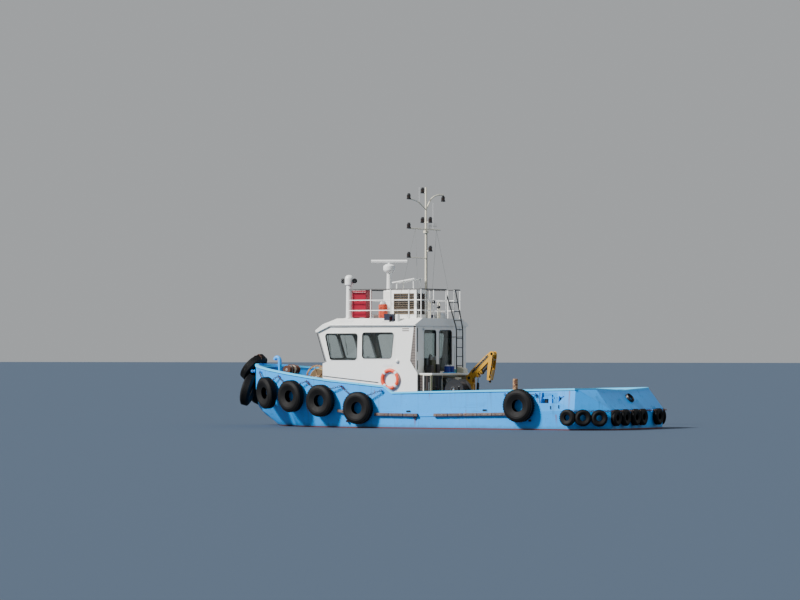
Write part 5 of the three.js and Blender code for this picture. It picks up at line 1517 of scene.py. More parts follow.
def dome_post():
    """Forward post with a domed head and a searchlight on each side."""
    piece = Piece("dome_post_lamps")
    x, y = 2.85, 0.90
    piece.lathe([(0, ROOF_Z), (0.16, ROOF_Z), (0.16, ROOF_Z + 0.015), (0.112, ROOF_Z + 0.02), (0.100, 4.74),
        (0.146, 4.75), (0.150, 4.76), (0.150, 4.94), (0.147, 4.97), (0.130, 5.02), (0.092, 5.062),
        (0.045, 5.078), (0, 5.08)], (x, y, 0), UP, "lid", 36)
    for side in (-1, 1):
        piece.rod((x, y, 4.80), (x + side * 0.21, y, 4.87), 0.018, "white", 12)
        centre = Vector((x + side * 0.21, y, 4.88))
        way = Vector((side * 0.08, 0.12, 0)).normalized()
        piece.lathe([(0, -0.072), (0.05, -0.070), (0.078, -0.04), (0.083, 0.0), (0.083, 0.068),
            (0.076, 0.070), (0.072, 0.055), (0, 0.055)], centre, way, "black", 28)
        piece.lathe([(0, 0.052), (0.074, 0.052), (0.074, 0.060), (0, 0.066)], centre, way, "lens", 28)
    piece.done(replaces=("dome_post",))


def roof_boxes():
    locker = Piece("locker_red_steel")
    locker.box((2.05, 0.75, ROOF_Z + 0.03), (2.59, 1.15, 4.50), "red", 0.018)
    locker.box((2.05, 0.75, 4.495), (2.59, 1.15, 4.55), "red", 0.012)
    for px in (2.08, 2.52):
        locker.box((px, 0.78, ROOF_Z), (px + 0.04, 1.12, ROOF_Z + 0.035), "red", 0.003)
    for px in (2.17, 2.47):
        locker.box((px - 0.02, 1.143, 4.44), (px + 0.02, 1.1499, 4.54), "steel", 0.002)
    locker.box((2.26, 1.141, 4.05), (2.38, 1.1495, 4.09), "black", 0.003)
    locker.done(replaces=("roof_locker",))
    buoy = Piece("roof_buoy_float")
    x, y = 1.56, 0.85
    buoy.lathe([(0, ROOF_Z + 0.002), (0.12, ROOF_Z + 0.002), (0.145, ROOF_Z + 0.03), (0.149, 3.75),
        (0.140, 3.76), (0.149, 3.77), (0.149, 3.94), (0.140, 3.95), (0.149, 3.96), (0.147, 4.07),
        (0.125, 4.09), (0, 4.09)], (x, y, 0), UP, "orange", 32)
    buoy.lathe([(0, 4.08), (0.100, 4.08), (0.104, 4.12), (0.085, 4.17), (0.050, 4.195), (0, 4.20)],
        (x, y, 0), UP, "lid", 28)
    buoy.tube([(x - 0.152, y, 3.70), (x, y + 0.152, 3.70), (x + 0.152, y, 3.70), (x, y - 0.152, 3.70)],
        0.008, "gasket", 8, 8, True)
    buoy.done(replaces=("roof_buoy",))


# Lamps on the mast. Columns: x, y, height of the base.
MAST_LAMPS = [(0.53, 0, 7.80), (0.53, 0, 6.81), (0.23, 0, 6.81), (0.23, 0, 5.85), (0.40, 1.13, 7.56),
    (0.40, 1.13, 6.59), (0.40, 1.13, 5.62), (0.40, -1.15, 7.56)]

# A lamp's foot, its lens and its cap.
LAMP_PARTS = [
    ("black", [(0, 0), (0.070, 0), (0.074, 0.012), (0.074, 0.040), (0.060, 0.046), (0, 0.046)]),
    ("dark_lens", [(0, 0.040), (0.056, 0.040), (0.060, 0.085), (0.056, 0.130), (0, 0.130)]),
    ("black", [(0, 0.125), (0.066, 0.125), (0.066, 0.145), (0.046, 0.165), (0.044, 0.195), (0.02, 0.2),
               (0, 0.2)]),
]


def mast():
    piece = Piece("mast_rigged")
    x, arm = 0.40, 6.60
    piece.rod((x, 0, ROOF_Z), (x, 0, 8.0), 0.045, "cream", 24, 0.0315, 0.002)
    piece.rod((x, 0, ROOF_Z), (x, 0, ROOF_Z + 0.02), 0.09, "cream", 28, soft=0.004)
    heads(piece, [((x + 0.07 * c, 0.07 * s, ROOF_Z + 0.022), UP) for c, s in circle(4, math.pi / 4)],
        "steel", 0.011, 0.012)
    piece.rod((x, -0.95, arm), (x, 1.13, arm), 0.022, "cream", 14, soft=0.002)
    piece.rod((x, 0, arm - 0.13), (x, 0, arm - 0.05), 0.088, "cream", 24, soft=0.006)
    piece.rod((x, 0, 5.63), (x, 1.13, 5.63), 0.0155, "cream", 12)
    piece.tube([(x, 1.13, 7.57), (x, 0.90, 7.56), (x, 0.48, 7.48), (x, 0, 7.25)], 0.021, "cream", 12, 5)
    piece.tube([(x, 0, 7.25), (x, -0.35, 7.62), (x, -0.75, 7.76), (x, -1.15, 7.79)], 0.024, "cream", 12, 5)
    piece.rod((x, -1.15, 7.55), (x, -1.15, 7.80), 0.0155, "cream", 12)
    for lx, ly, lz in MAST_LAMPS:
        for finish, profile in LAMP_PARTS:
            piece.lathe(profile, (lx, ly, lz), UP, finish, 24)
        for c, s in circle(3, 0.4):
            spot = (lx + 0.064 * c, ly + 0.064 * s)
            piece.rod(spot + (lz + 0.03,), spot + (lz + 0.14,), 0.004, "black", 6)
        if ly == 0:
            piece.rod((x, 0, lz + 0.02), (lx, ly, lz + 0.02), 0.016, "cream", 10)
    # Stays to the roof, then the aerials: a rod array on its arm and three whips.
    for sx in (0.50, -0.40):
        for side in (-1, 1):
            foot = Vector((x + sx, side * 1.15, ROOF_Z))
            stay = Vector((x, side * 0.70, arm)) - foot
            piece.rod(foot + stay, foot + Vector((0, 0, 0.02)), 0.0045, "steel", 8)
            piece.rod(foot + stay * 0.02, foot + stay * 0.09, 0.009, "steel", 10)
            piece.box(foot + Vector((-0.04, -0.03, 0)), foot + Vector((0.04, 0.03, 0.012)), "cream", 0.003)
    piece.rod((x, -0.18, 6.72), (x, -0.72, 6.72), 0.007, "steel", 8)
    for k in range(6):
        piece.rod((x, -0.22 - 0.09 * k, 6.58 + 0.008 * k), (x, -0.22 - 0.09 * k, 6.86 - 0.008 * k), 0.004,
            "steel", 6)
    piece.rod((x, -0.20, arm), (x, -0.20, 6.72), 0.008, "cream", 8)
    piece.rod((x, 0.45, 7.50), (x, 0.45, 7.985), 0.0045, "lid", 8)
    piece.rod((x, -0.02, 7.90), (x, -0.02, 7.999), 0.006, "lid", 8)
    piece.rod((x + 0.02, -0.50, arm), (x + 0.02, -0.50, 7.5), 0.005, "lid", 8)
    # Cable clipped up the mast.
    piece.tube([(x - 0.047, 0.0, ROOF_Z + 0.03), (x - 0.045, 0.004, 5.0), (x - 0.041, 0.0, 6.5)], 0.008,
        "gasket", 8)
    piece.done(replaces=("mast",))


def roof_pipes():
    """Pale pipes, lamps and a bracket at the aft edge of the roof."""
    piece = Piece("roof_pipes")
    for y in (0.72, 0.10):
        piece.tube(corner_path([(-0.12, y, ROOF_Z), (-0.12, y, 4.15), (-0.12, y - 0.12, 4.15),
            (-0.12, y - 0.12, ROOF_Z)], 0.05), 0.020, "cream", 12)
    piece.box((-0.15, -0.35, ROOF_Z), (0.10, -0.05, 3.80), "lid", 0.02)
    for y, z in ((0.62, 4.165), (0.30, 4.0)):
        piece.rod((-0.215, y, z), (-0.29, y, z - 0.02), 0.05, "black", 20, 0.055, 0.006)
        piece.rod((-0.288, y, z - 0.0195), (-0.294, y, z - 0.021), 0.046, "lens", 20)
        piece.rod((-0.19, y, z), (-0.22, y, z), 0.014, "black", 10)
    for x, y in ((2.2, 0.2), (1.2, -0.75)):
        piece.lathe([(0, 0), (0.13, 0), (0.13, 0.05), (0.115, 0.06), (0.115, 0.09), (0.16, 0.10),
            (0.16, 0.125), (0.08, 0.155), (0, 0.16)], (x, y, ROOF_Z), UP, "white", 32)
    piece.lathe([(0, 0), (0.09, 0), (0.09, 0.30), (0.15, 0.32), (0.15, 0.36), (0.10, 0.42), (0, 0.44)],
        (2.3, -0.6, ROOF_Z), UP, "lid", 28)
    piece.done()


roof_rail()
ladder()
vent_housing()
radar()
dome_post()
roof_boxes()
mast()
roof_pipes()


# ---- Crane, winch, tow post and casing

CRANE = Vector((-1.05, -0.46, 1.64))
RISE = math.radians(43)
OUTER = math.radians(219)
TIP = (1.17, 0.0)
LIFT_FOOT = Vector((-1.30, CRANE.y, 0.98))
FOLD_FOOT = Vector((-1.48724, CRANE.y, 1.80162))


def on_boom(d, o, y=0.0):
    """A point of the lifting boom: out along it, over its line, and across."""
    return CRANE + Vector((o * math.sin(RISE) - d * math.cos(RISE), y,
        d * math.sin(RISE) + o * math.cos(RISE)))


def on_outer(s, o, y=0.0):
    """The same for the outer boom."""
    return on_boom(TIP[0] + s * math.cos(OUTER) - o * math.sin(OUTER),
        s * math.sin(OUTER) + o * math.cos(OUTER), y)


def pin(piece, centre, reach, radius):
    """Ends of a pin: a washer and a head on each side."""
    for side in (-1, 1):
        inner, middle, outer = (centre + Vector((0, side * (reach + d), 0)) for d in (-0.012, -0.004, 0.008))
        piece.rod(inner, middle, radius * 1.7, "black", 24, soft=0.002)
        piece.rod(middle, outer, radius * 1.2, "black", 6, soft=0.002)


def outer_finish(centre, normal):
    return "black" if abs(centre.y - CRANE.y) > 0.1085 else "yellow"


def crane():
    dressed_copy("crane_boom", "crane_boom_lifting", "yellow", "crane_boom")
    dressed_copy("crane_outer", "crane_boom_hanging", "yellow", "crane_outer",
        pick=outer_finish)
    x, y = CRANE.x, CRANE.y
    foot = Piece("crane_pedestal")
    foot.box((x - 0.28, y - 0.28, 0.495), (x + 0.28, y + 0.28, 0.64), "yellow", 0.012)
    foot.lathe([(0, 0.63), (0.168, 0.63), (0.150, 0.66), (0.145, 0.82), (0.17, 0.835), (0.17, 0.87),
        (0, 0.87)], (x, y, 0), UP, "yellow", 40)
    heads(foot, [((x + a * 0.235, y + b * 0.235, 0.64), UP) for a in (-1, 0, 1) for b in (-1, 0, 1)
        if a or b], "steel", 0.017, 0.018)
    foot.done(replaces=("crane_foot",))

    post = Piece("crane_slewing_post")
    post.lathe([(0, 0.8703), (0.15, 0.8703), (0.15, 0.905), (0.128, 0.925), (0.122, 1.40), (0.138, 1.43),
        (0.15, 1.44), (0.15, 1.48), (0, 1.48)], (x, y, 0), UP, "yellow", 40)
    heads(post, [((x + 0.136 * c, y + 0.136 * s, 0.905), UP) for c, s in circle(12)], "steel", 0.010, 0.011)
    fx, fz = LIFT_FOOT.x, LIFT_FOOT.z
    for side in (-1, 1):
        across = sorted((y + side * 0.09, y + side * 0.115))
        post.prism([(x - 0.13, 1.17), (x + 0.13, 1.17), (x + 0.10, 1.73), (x - 0.10, 1.73)], "y", across,
            "yellow", 0.004)
        across = sorted((y + side * 0.055, y + side * 0.075))
        post.prism([(x, fz - 0.09), (fx - 0.04, fz - 0.06), (fx - 0.055, fz + 0.04), (fx + 0.02, fz + 0.08),
            (x, fz + 0.20)], "y", across, "yellow", 0.003)
    post.rod((x, y - 0.132, CRANE.z), (x, y + 0.132, CRANE.z), 0.03, "steel", 24)
    pin(post, CRANE, 0.128, 0.03)
    post.rod((fx, y - 0.082, fz), (fx, y + 0.082, fz), 0.018, "steel", 20)
    pin(post, LIFT_FOOT, 0.084, 0.018)
    # Control block with its levers on the side of the post.
    post.box((x - 0.06, y + 0.12, 1.20), (x + 0.06, y + 0.20, 1.36), "grey", 0.008)
    for k in range(4):
        lever = Vector((x - 0.045 + 0.03 * k, y + 0.17, 1.36))
        post.rod(lever, lever + Vector((0, 0.03, 0.11)), 0.004, "steel", 8)
        post.ball(lever + Vector((0, 0.03, 0.115)), 0.010, "black", 12, 8)
    for k in (-1, 1):
        post.tube([(x + k * 0.04, y + 0.16, 1.21), (x + k * 0.05, y + 0.17, 1.08),
            (x + k * 0.03, y + 0.135, 0.96)], 0.010, "gasket", 8, 4)
    post.done("crane_column", replaces=("crane_column",))

    lines = Piece("crane_boom_pipes")
    for k in range(3):
        off = 0.105 + 0.026 * k
        lines.tube([on_boom(0.22, 0.05, 0.087 - 0.001 * k), on_boom(0.28, off - 0.07, 0.089),
            on_boom(1.02, off - 0.07, 0.089)], 0.008, "gasket" if k == 1 else "steel", 8, 3)
    for d in (0.34, 0.64, 0.94):
        low, high = on_boom(d, 0.015, 0.079), on_boom(d, 0.115, 0.079)
        lines.rod(low, high, 0.012, "black", 8, soft=0.003)
    pin(lines, FOLD_FOOT, 0.077, 0.016)
    lines.done("crane_boom")

    hang = Piece("crane_outer_fittings")
    pin(hang, on_boom(*TIP), 0.112, 0.028)
    for o in (0.075, 0.055):
        hang.tube([on_outer(0.02, o, 0.117), on_outer(0.40, o, 0.117), on_outer(0.80, o - 0.03, 0.117)],
            0.0085, "gasket", 8, 5)
    for s in (0.12, 0.42, 0.70):
        hang.rod(on_outer(s, 0.035, 0.111), on_outer(s, 0.088, 0.111), 0.010, "black", 8, soft=0.003)
    end = on_outer(0.82, 0)
    hang.lathe([(0, -0.02), (0.040, -0.02), (0.046, 0.0), (0.040, 0.03), (0, 0.03)],
        end + Vector((0, 0, -0.10)), DOWN, "black", 20)
    hang.done("crane_outer")


def cylinder(name, foot, eye, barrel, radius, rod, rod_radius, foot_pin):
    """A bored barrel with its gland, and a plated rod with its eye."""
    way = (eye - foot).normalized()
    piece = Piece(name + "_barrel")
    piece.lathe([(0, 0.032), (radius * 0.8, 0.032), (radius, 0.05), (radius, barrel - 0.045),
        (radius * 0.93, barrel - 0.040), (radius * 0.93, barrel - 0.034), (radius, barrel - 0.029),
        (radius, barrel), (rod_radius + 0.0005, barrel), (rod_radius + 0.0005, barrel - 0.04),
        (radius - 0.010, barrel - 0.04), (radius - 0.010, 0.07), (0, 0.07)], foot, way, "black", 28)
    piece.lathe([(foot_pin + 0.0005, -0.04), (0.034, -0.04), (0.034, 0.04), (foot_pin + 0.0005, 0.04),
        (foot_pin + 0.0005, -0.04)], foot, PORT, "black", 28)
    over = way.cross(Vector(PORT))
    ports = [foot + way * 0.08, foot + way * (barrel - 0.08)]
    for spot in ports:
        piece.rod(spot + over * radius * 0.9, spot + over * (radius + 0.014), 0.010, "steel", 12)
    piece.tube([spot + over * (radius + 0.012) for spot in ports], 0.005, "steel", 8)
    piece.done(name + "_cylinder", replaces=(name + "_cylinder",))
    stem = Piece(name + "_plated_rod")
    stem.rod(eye - way * rod, eye - way * 0.024, rod_radius, "chrome", 28)
    stem.rod(eye - Vector((0, 0.03, 0)), eye + Vector((0, 0.03, 0)), 0.028, "steel", 28, soft=0.003)
    stem.rod(eye - way * 0.034, eye - way * 0.018, rod_radius * 1.12, "steel", 24, soft=0.003)
    stem.done(name + "_rod", replaces=(name + "_rod",))


def coil(piece, start, axis, radius, width, pitch, wire, finish, sides=22):
    """Rope wound round a drum in close turns."""
    u, v, w = basis(axis)
    turns = circle(sides) * int(width / pitch)
    line = []
    for k, (c, s) in enumerate(turns + turns[:1]):
        line.append(Vector(start) + w * (width * k / len(turns)) + (u * c + v * s) * radius)
    piece.tube(line, wire, finish, 6)


def winch():
    dressed_copy("winch_frame", "winch_side_frames", "black")
    x, z = -1.5, 1.27
    kit = Piece("winch_fittings")
    for y, side in ((0.85, -1), (1.50, 1)):
        kit.lathe([(0.046, -0.004), (0.10, -0.004), (0.095, 0.016), (0.06, 0.02), (0.046, 0.02),
            (0.046, -0.004)], (x, y, z), (0, side, 0), "black", 32)
        heads(kit, [((x + 0.078 * c, y + side * 0.016, z + 0.078 * s), (0, side, 0)) for c, s in circle(6)],
            "steel", 0.009, 0.010)
    kit.rod((x, 0.64, 0.98), (x, 0.672, 0.98), 0.11, "grey", 28, soft=0.008)
    for k in (-1, 1):
        kit.tube([(x + k * 0.05, 0.66, 0.90), (x + k * 0.06, 0.60, 0.80), (x + k * 0.05, 0.62, 0.52)], 0.014,
            "gasket", 8, 4)
    kit.rod((x - 0.20, 0.87, z + 0.10), (x - 0.20, 1.48, z + 0.10), 0.018, "steel", 16)
    kit.done()
    drum = Piece("winch_drum_wound")
    drum.rod((x, 0.855, z), (x, 1.495, z), 0.044, "steel", 32)
    for a, b in ((0.898, 0.920), (1.430, 1.452)):
        drum.lathe([(0.044, a), (0.31, a), (0.34, a - 0.006), (0.34, b + 0.006), (0.31, b), (0.044, b),
            (0.044, a)], (x, 0, z), PORT, "black", 56)
    drum.rod((x, 0.915, z), (x, 1.435, z), 0.228, "black", 48)
    coil(drum, (x, 0.936, z), PORT, 0.244, 0.48, 0.0285, 0.0145, "rope_dark")
    drum.done("winch_drum", replaces=("winch_drum",))


def tow_post():
    piece = Piece("tow_post_horned")
    x = -3.0
    piece.prism([(x - 0.22, 0.527), (x + 0.22, 0.52), (x + 0.22, 0.575), (x - 0.22, 0.58)], "y",
        (-0.22, 0.22), "tan", 0.008)
    piece.lathe([(0, 0.55), (0.13, 0.55), (0.10, 0.60), (0.084, 0.66), (0.084, 1.585), (0.078, 1.608),
        (0.060, 1.62), (0, 1.62)], (x, 0, 0), UP, "tan", 36)
    piece.lathe([(0, -0.42), (0.05, -0.42), (0.060, -0.41), (0.060, -0.39), (0.052, -0.37), (0.052, 0.37),
        (0.060, 0.39), (0.060, 0.41), (0.05, 0.42), (0, 0.42)], (x, 0, 1.12), PORT, "tan", 28)
    for side in (-1, 1):
        piece.plate([(x, side * 0.08, 0.57), (x, side * 0.20, 0.57), (x, side * 0.08, 0.80)], 0.014, "tan",
            0.002)
    coil(piece, (x, 0, 0.72), UP, 0.098, 0.17, 0.034, 0.017, "rope_blue", 18)
    piece.done(replaces=("tow_bitt",))


# Pipe runs on the aft face. Columns: y, z from and to, radius, finish.
PIPES = [(0.98, 0.75, 1.60, 0.02, "steel"), (1.10, 0.80, 1.30, 0.03, "olive"),
    (1.22, 1.00, 1.70, 0.018, "dark_louvre"), (1.33, 0.75, 1.20, 0.025, "grey"),
    (1.44, 0.90, 1.66, 0.02, "olive")]
# Lockers and machinery. Columns: y from and to, z from and to, how far aft, finish.
GEAR = [
    (0.50, 0.88, 0.72, 1.36, -0.58, "olive"), (0.02, 0.42, 1.38, 1.64, -0.66, "grey"),
    (-0.46, -0.04, 1.42, 1.66, -0.70, "cream"), (-0.85, -0.50, 0.70, 1.50, -0.55, "panel"),
]
# Round machinery. Columns: y, z, radius, finish.
ROUNDS = [(0.33, 1.16, 0.16, "drum"), (0.22, 1.42, 0.12, "steel"), (-0.25, 1.14, 0.13, "black"),
    (0.72, 1.50, 0.12, "black")]


def casing_finish(centre, normal):
    return "deck" if normal.z > 0.9 and centre.z < 1 else "cream"


def casing():
    """Casing top and the gear stowed in its open after side."""
    dressed_copy("aft_casing", "casing_shell", "cream", pick=casing_finish)
    piece = Piece("casing_gear")
    piece.box((-0.762, -1.005, 1.765), (-0.745, 1.605, 1.802), "white", 0.004)
    piece.box((-0.75, 1.598, 1.765), (-0.2003, 1.606, 1.802), "white", 0.002)
    # Louvre in the port side on a dark backing sheet that is painted shade, its white post and the corner
    # post.
    piece.box((-0.41, 1.599, 0.72), (-0.215, 1.603, 1.74), "gasket", 0)
    for k in range(20):
        z = 0.74 + 0.05 * k
        piece.box((-0.41, 1.600, z), (-0.215, 1.612, z + 0.026), "dark_louvre", 0.003)
    piece.box((-0.452, 1.56, 0.70), (-0.425, 1.612, 1.74), "white", 0.003)
    piece.box((-0.752, 1.545, 0.70), (-0.698, 1.604, 1.74), "olive", 0.003)
    for y0, y1, z0, z1, x, finish in GEAR:
        piece.box((x, y0, z0), (-0.32, y1, z1), finish, 0.015)
    for y, z, radius, finish in ROUNDS:
        piece.rod((-0.33, y, z), (-0.62, y, z), radius, finish, 28, soft=0.012)
    for k in range(8):
        y = 0.86 - 0.10 * k
        piece.tube([(-0.34, y, 1.62), (-0.50 - 0.03 * (k % 3), y, 1.48 - 0.06 * (k % 2)),
            (-0.46, y - 0.06, 1.16), (-0.38, y + 0.03, 0.78)], 0.017,
            ("black", "gasket", "steel", "dark_louvre")[k % 4], 8, 5)
    # Dark panels, painted shade standing in for a recessed bay, with pipe runs outboard of the open bay.
    piece.box((-0.753, 0.92, 0.72), (-0.7502, 1.53, 1.73), "gasket", 0)
    piece.box((-0.69, 1.6002, 0.72), (-0.46, 1.603, 1.73), "gasket", 0)
    for y, z0, z1, radius, finish in PIPES:
        piece.rod((-0.756, y, z0), (-0.756, y, z1), radius, finish, 12, soft=0.004)
        piece.rod((-0.756, y, (z0 + z1) / 2), (-0.756, 1.52, (z0 + z1) / 2 + 0.03), radius * 0.6, finish, 10)
    for x, z0, z1, radius, finish in ((-0.65, 0.74, 1.50, 0.014, "steel"),
            (-0.58, 1.00, 1.70, 0.018, "dark_louvre"), (-0.51, 0.74, 1.30, 0.016, "olive")):
        piece.rod((x, 1.606, z0), (x, 1.606, z1), radius, finish, 12, soft=0.004)
    piece.tube(corner_path([(-0.66, 0.46, 0.72), (-0.66, 0.46, 1.60), (-0.34, 0.46, 1.60)], 0.08), 0.022,
        "steel", 12)
    piece.done()

    tray = Piece("casing_drums")
    tray.box((-0.70, -0.08, 1.8005), (-0.48, 0.42, 1.81), "blue", 0.003)
    for lo, hi in (((-0.70, -0.08), (-0.69, 0.42)), ((-0.49, -0.08), (-0.48, 0.42)),
            ((-0.70, -0.08), (-0.48, -0.07)), ((-0.70, 0.41), (-0.48, 0.42))):
        tray.box(lo + (1.8005,), hi + (1.83,), "blue", 0.002)
    for y in (0.305, 0.035):
        tray.lathe([(0, 1.808), (0.098, 1.808), (0.104, 1.82), (0.104, 1.88), (0.100, 1.89), (0.104, 1.90),
            (0.104, 1.96), (0.100, 1.97), (0.104, 1.98), (0.102, 2.02), (0.088, 2.03), (0, 2.03)],
            (-0.59, y, 0), UP, "drum", 36)
        tray.lathe([(0, 2.02), (0.069, 2.02), (0.070, 2.03), (0.069, 2.06), (0.060, 2.069), (0, 2.07)],
            (-0.59, y, 0), UP, "lid", 28)
    tray.done(replaces=("casing_boxes",))

    top = Piece("casing_top_gear")
    top.prism([(-0.70, 1.805), (-0.42, 1.805), (-0.42, 2.03), (-0.70, 1.93)], "y", (-0.88, -0.60), "cream",
        0.01)
    for y0, y1, z, x, finish in ((0.60, 0.80, 2.10, -0.50, "panel"), (0.80, 1.04, 2.24, -0.44, "olive"),
            (1.04, 1.20, 2.06, -0.52, "black"), (0.66, 1.10, 2.30, -0.34, "grey")):
        top.box((x, y0, 1.80), (-0.24, y1, z), finish, 0.02)
    for y in (0.74, 0.90, 1.00):
        top.rod((-0.36, y, 2.0), (-0.36, y, 2.36), 0.034, "steel", 16, soft=0.004)
    top.tube([(-0.40, 1.16, 1.80), (-0.40, 1.18, 2.20), (-0.34, 1.02, 2.40), (-0.30, 0.80, 2.34)], 0.022,
        "gasket", 10, 5)
    top.box((-0.56, -0.40, 1.80), (-0.36, -0.22, 1.93), "teal", 0.012)
    top.done()


crane()
cylinder("lift", LIFT_FOOT, on_boom(0.26, -0.16), 0.50, 0.042, 0.44, 0.024, 0.018)
horn = OUTER + math.radians(20)
fold_eye = on_boom(TIP[0] + 0.2 * math.cos(horn), 0.2 * math.sin(horn))
cylinder("fold", FOLD_FOOT, fold_eye, 0.54, 0.038, 0.52, 0.021, 0.016)
winch()
tow_post()
casing()


# ---- Foredeck gear

def foredeck():
    piece = Piece("bow_vent_post")
    x = 6.18
    piece.tube(corner_path([(x, 0, 1.19), (x, 0, 2.25), (x + 0.06, 0, 2.32), (6.34, 0, 2.32),
        (6.38, 0, 2.24)], 0.05), 0.064, "blue", 24)
    piece.rod((x, 0, 1.18), (x, 0, 1.217), 0.12, "blue", 32, soft=0.005)
    heads(piece, [((x + 0.092 * c, 0.092 * s, 1.217), UP) for c, s in circle(6)], "steel", 0.010, 0.012)
    piece.done(replaces=("bow_post",))

    gear = Piece("windlass_assembly")
    x, z = 5.70, 1.90
    gear.prism([(x - 0.23, 1.105), (x + 0.23, 1.115), (x + 0.23, 1.183), (x - 0.23, 1.183)], "y",
        (-0.32, 0.32), "grey", 0.006)
    for side in (-1, 1):
        across = sorted((side * 0.11, side * 0.17))
        gear.prism([(x - 0.13, 1.17), (x + 0.13, 1.17), (x + 0.125, 1.98), (x + 0.09, 2.05),
            (x - 0.09, 2.05), (x - 0.125, 1.98)], "y", across, "grey", 0.008)
        gear.lathe([(0, 0.20), (0.128, 0.20), (0.148, 0.205), (0.148, 0.222), (0.108, 0.25), (0.108, 0.285),
            (0.138, 0.315), (0.148, 0.325), (0.146, 0.332), (0, 0.332)], (x, 0, z), (0, side, 0), "rust", 36)
    gear.rod((x, -0.34, z), (x, 0.34, z), 0.045, "steel", 24, soft=0.004)
    gear.lathe([(0, -0.108), (0.178, -0.108), (0.178, -0.09), (0.13, -0.07), (0.13, 0.07), (0.178, 0.09),
        (0.178, 0.108), (0, 0.108)], (x, 0, z), PORT, "rust", 40)
    coil(gear, (x, -0.066, z), PORT, 0.142, 0.13, 0.024, 0.012, "rope_white")
    gear.box((x - 0.10, -0.30, 1.18), (x + 0.10, -0.19, 1.60), "grey", 0.015)
    gear.done(replaces=("windlass",))

    reel = Piece("hawser_reel")
    x, y, z = 4.15, 0.55, 1.62
    reel.prism([(x - 0.30, 0.90), (x + 0.30, 0.945), (x + 0.30, 0.99), (x - 0.30, 0.99)], "y",
        (y - 0.38, y + 0.38), "blue", 0.006)
    for side in (-1, 1):
        across = sorted((y + side * 0.33, y + side * 0.37))
        reel.prism([(x - 0.22, 0.96), (x + 0.22, 0.96), (x + 0.05, 1.68), (x - 0.05, 1.68)], "y", across,
            "tan", 0.004)
        for inner, outer in ((0.04, 0.10), (0.395, 0.45)):
            reel.lathe([(inner, 0.274), (outer, 0.270), (outer, 0.300), (inner, 0.296), (inner, 0.274)],
                (x, y, z), (0, side, 0), "tan", 56)
        hub = Vector((x, y + side * 0.285, z))
        for c, s in circle(6, 0.3):
            reel.rod(hub + Vector((c, 0, s)) * 0.09, hub + Vector((c, 0, s)) * 0.40, 0.014, "tan", 10)
        reel.rod((x, y + side * 0.365, z), (x, y + side * 0.38, z), 0.07, "steel", 24, soft=0.004)
    reel.rod((x, y - 0.34, z), (x, y + 0.34, z), 0.04, "steel", 20)
    reel.rod((x, y - 0.275, z), (x, y + 0.275, z), 0.30, "rope", 40)
    coil(reel, (x, y - 0.245, z), PORT, 0.312, 0.50, 0.046, 0.024, "rope", 26)
    reel.done(replaces=("rope_reel",))


foredeck()


# ---- Shafts, propellers and rudders

SHAFT_Y, SHAFT_Z = 1.10, -1.15


def screw_blade(piece, root):
    """One blade: wide rounded outline, pitched less towards its tip, thin at its edges."""
    rows, cols, widest = 9, 8, 0.62
    verts = []
    for i in range(rows):
        t = i / (rows - 1)
        r = 0.06 + 0.338 * t
        if t > widest:
            half = max(0.02, 0.15 * math.sqrt(max(0.0, 1 - ((t - widest) / 0.40) ** 2)))
        else:
            half = 0.075 + 0.075 * math.sin(t / widest * math.pi / 2)
        pitch = math.radians(62 - 28 * t)
        thick = 0.011 * (1 - 0.6 * t)
        for side in (1, -1):
            for j in range(cols + 1):
                a = -1 + 2 * j / cols
                chord, high = a * half, side * thick * (1 - a * a) ** 0.5
                angle = (chord * math.cos(pitch) + high * math.sin(pitch)) / max(r, 0.08)
                verts.append(root @ Vector((high * math.cos(pitch) - chord * math.sin(pitch),
                    r * math.sin(angle), r * math.cos(angle))))
    n = 2 * (cols + 1)
    order = list(range(cols + 1)) + [cols + 1 + j for j in range(cols - 1, 0, -1)]
    faces = []
    for i in range(rows - 1):
        for k in range(len(order)):
            a, b = order[k], order[(k + 1) % len(order)]
            faces.append((i * n + a, i * n + b, (i + 1) * n + b, (i + 1) * n + a))
    faces.append(tuple(reversed(order)))
    faces.append(tuple((rows - 1) * n + k for k in order))
    used = sorted({i for face in faces for i in face})
    new = {old: i for i, old in enumerate(used)}
    piece.solid([verts[i] for i in used], [tuple(new[i] for i in face) for face in faces], "bronze")


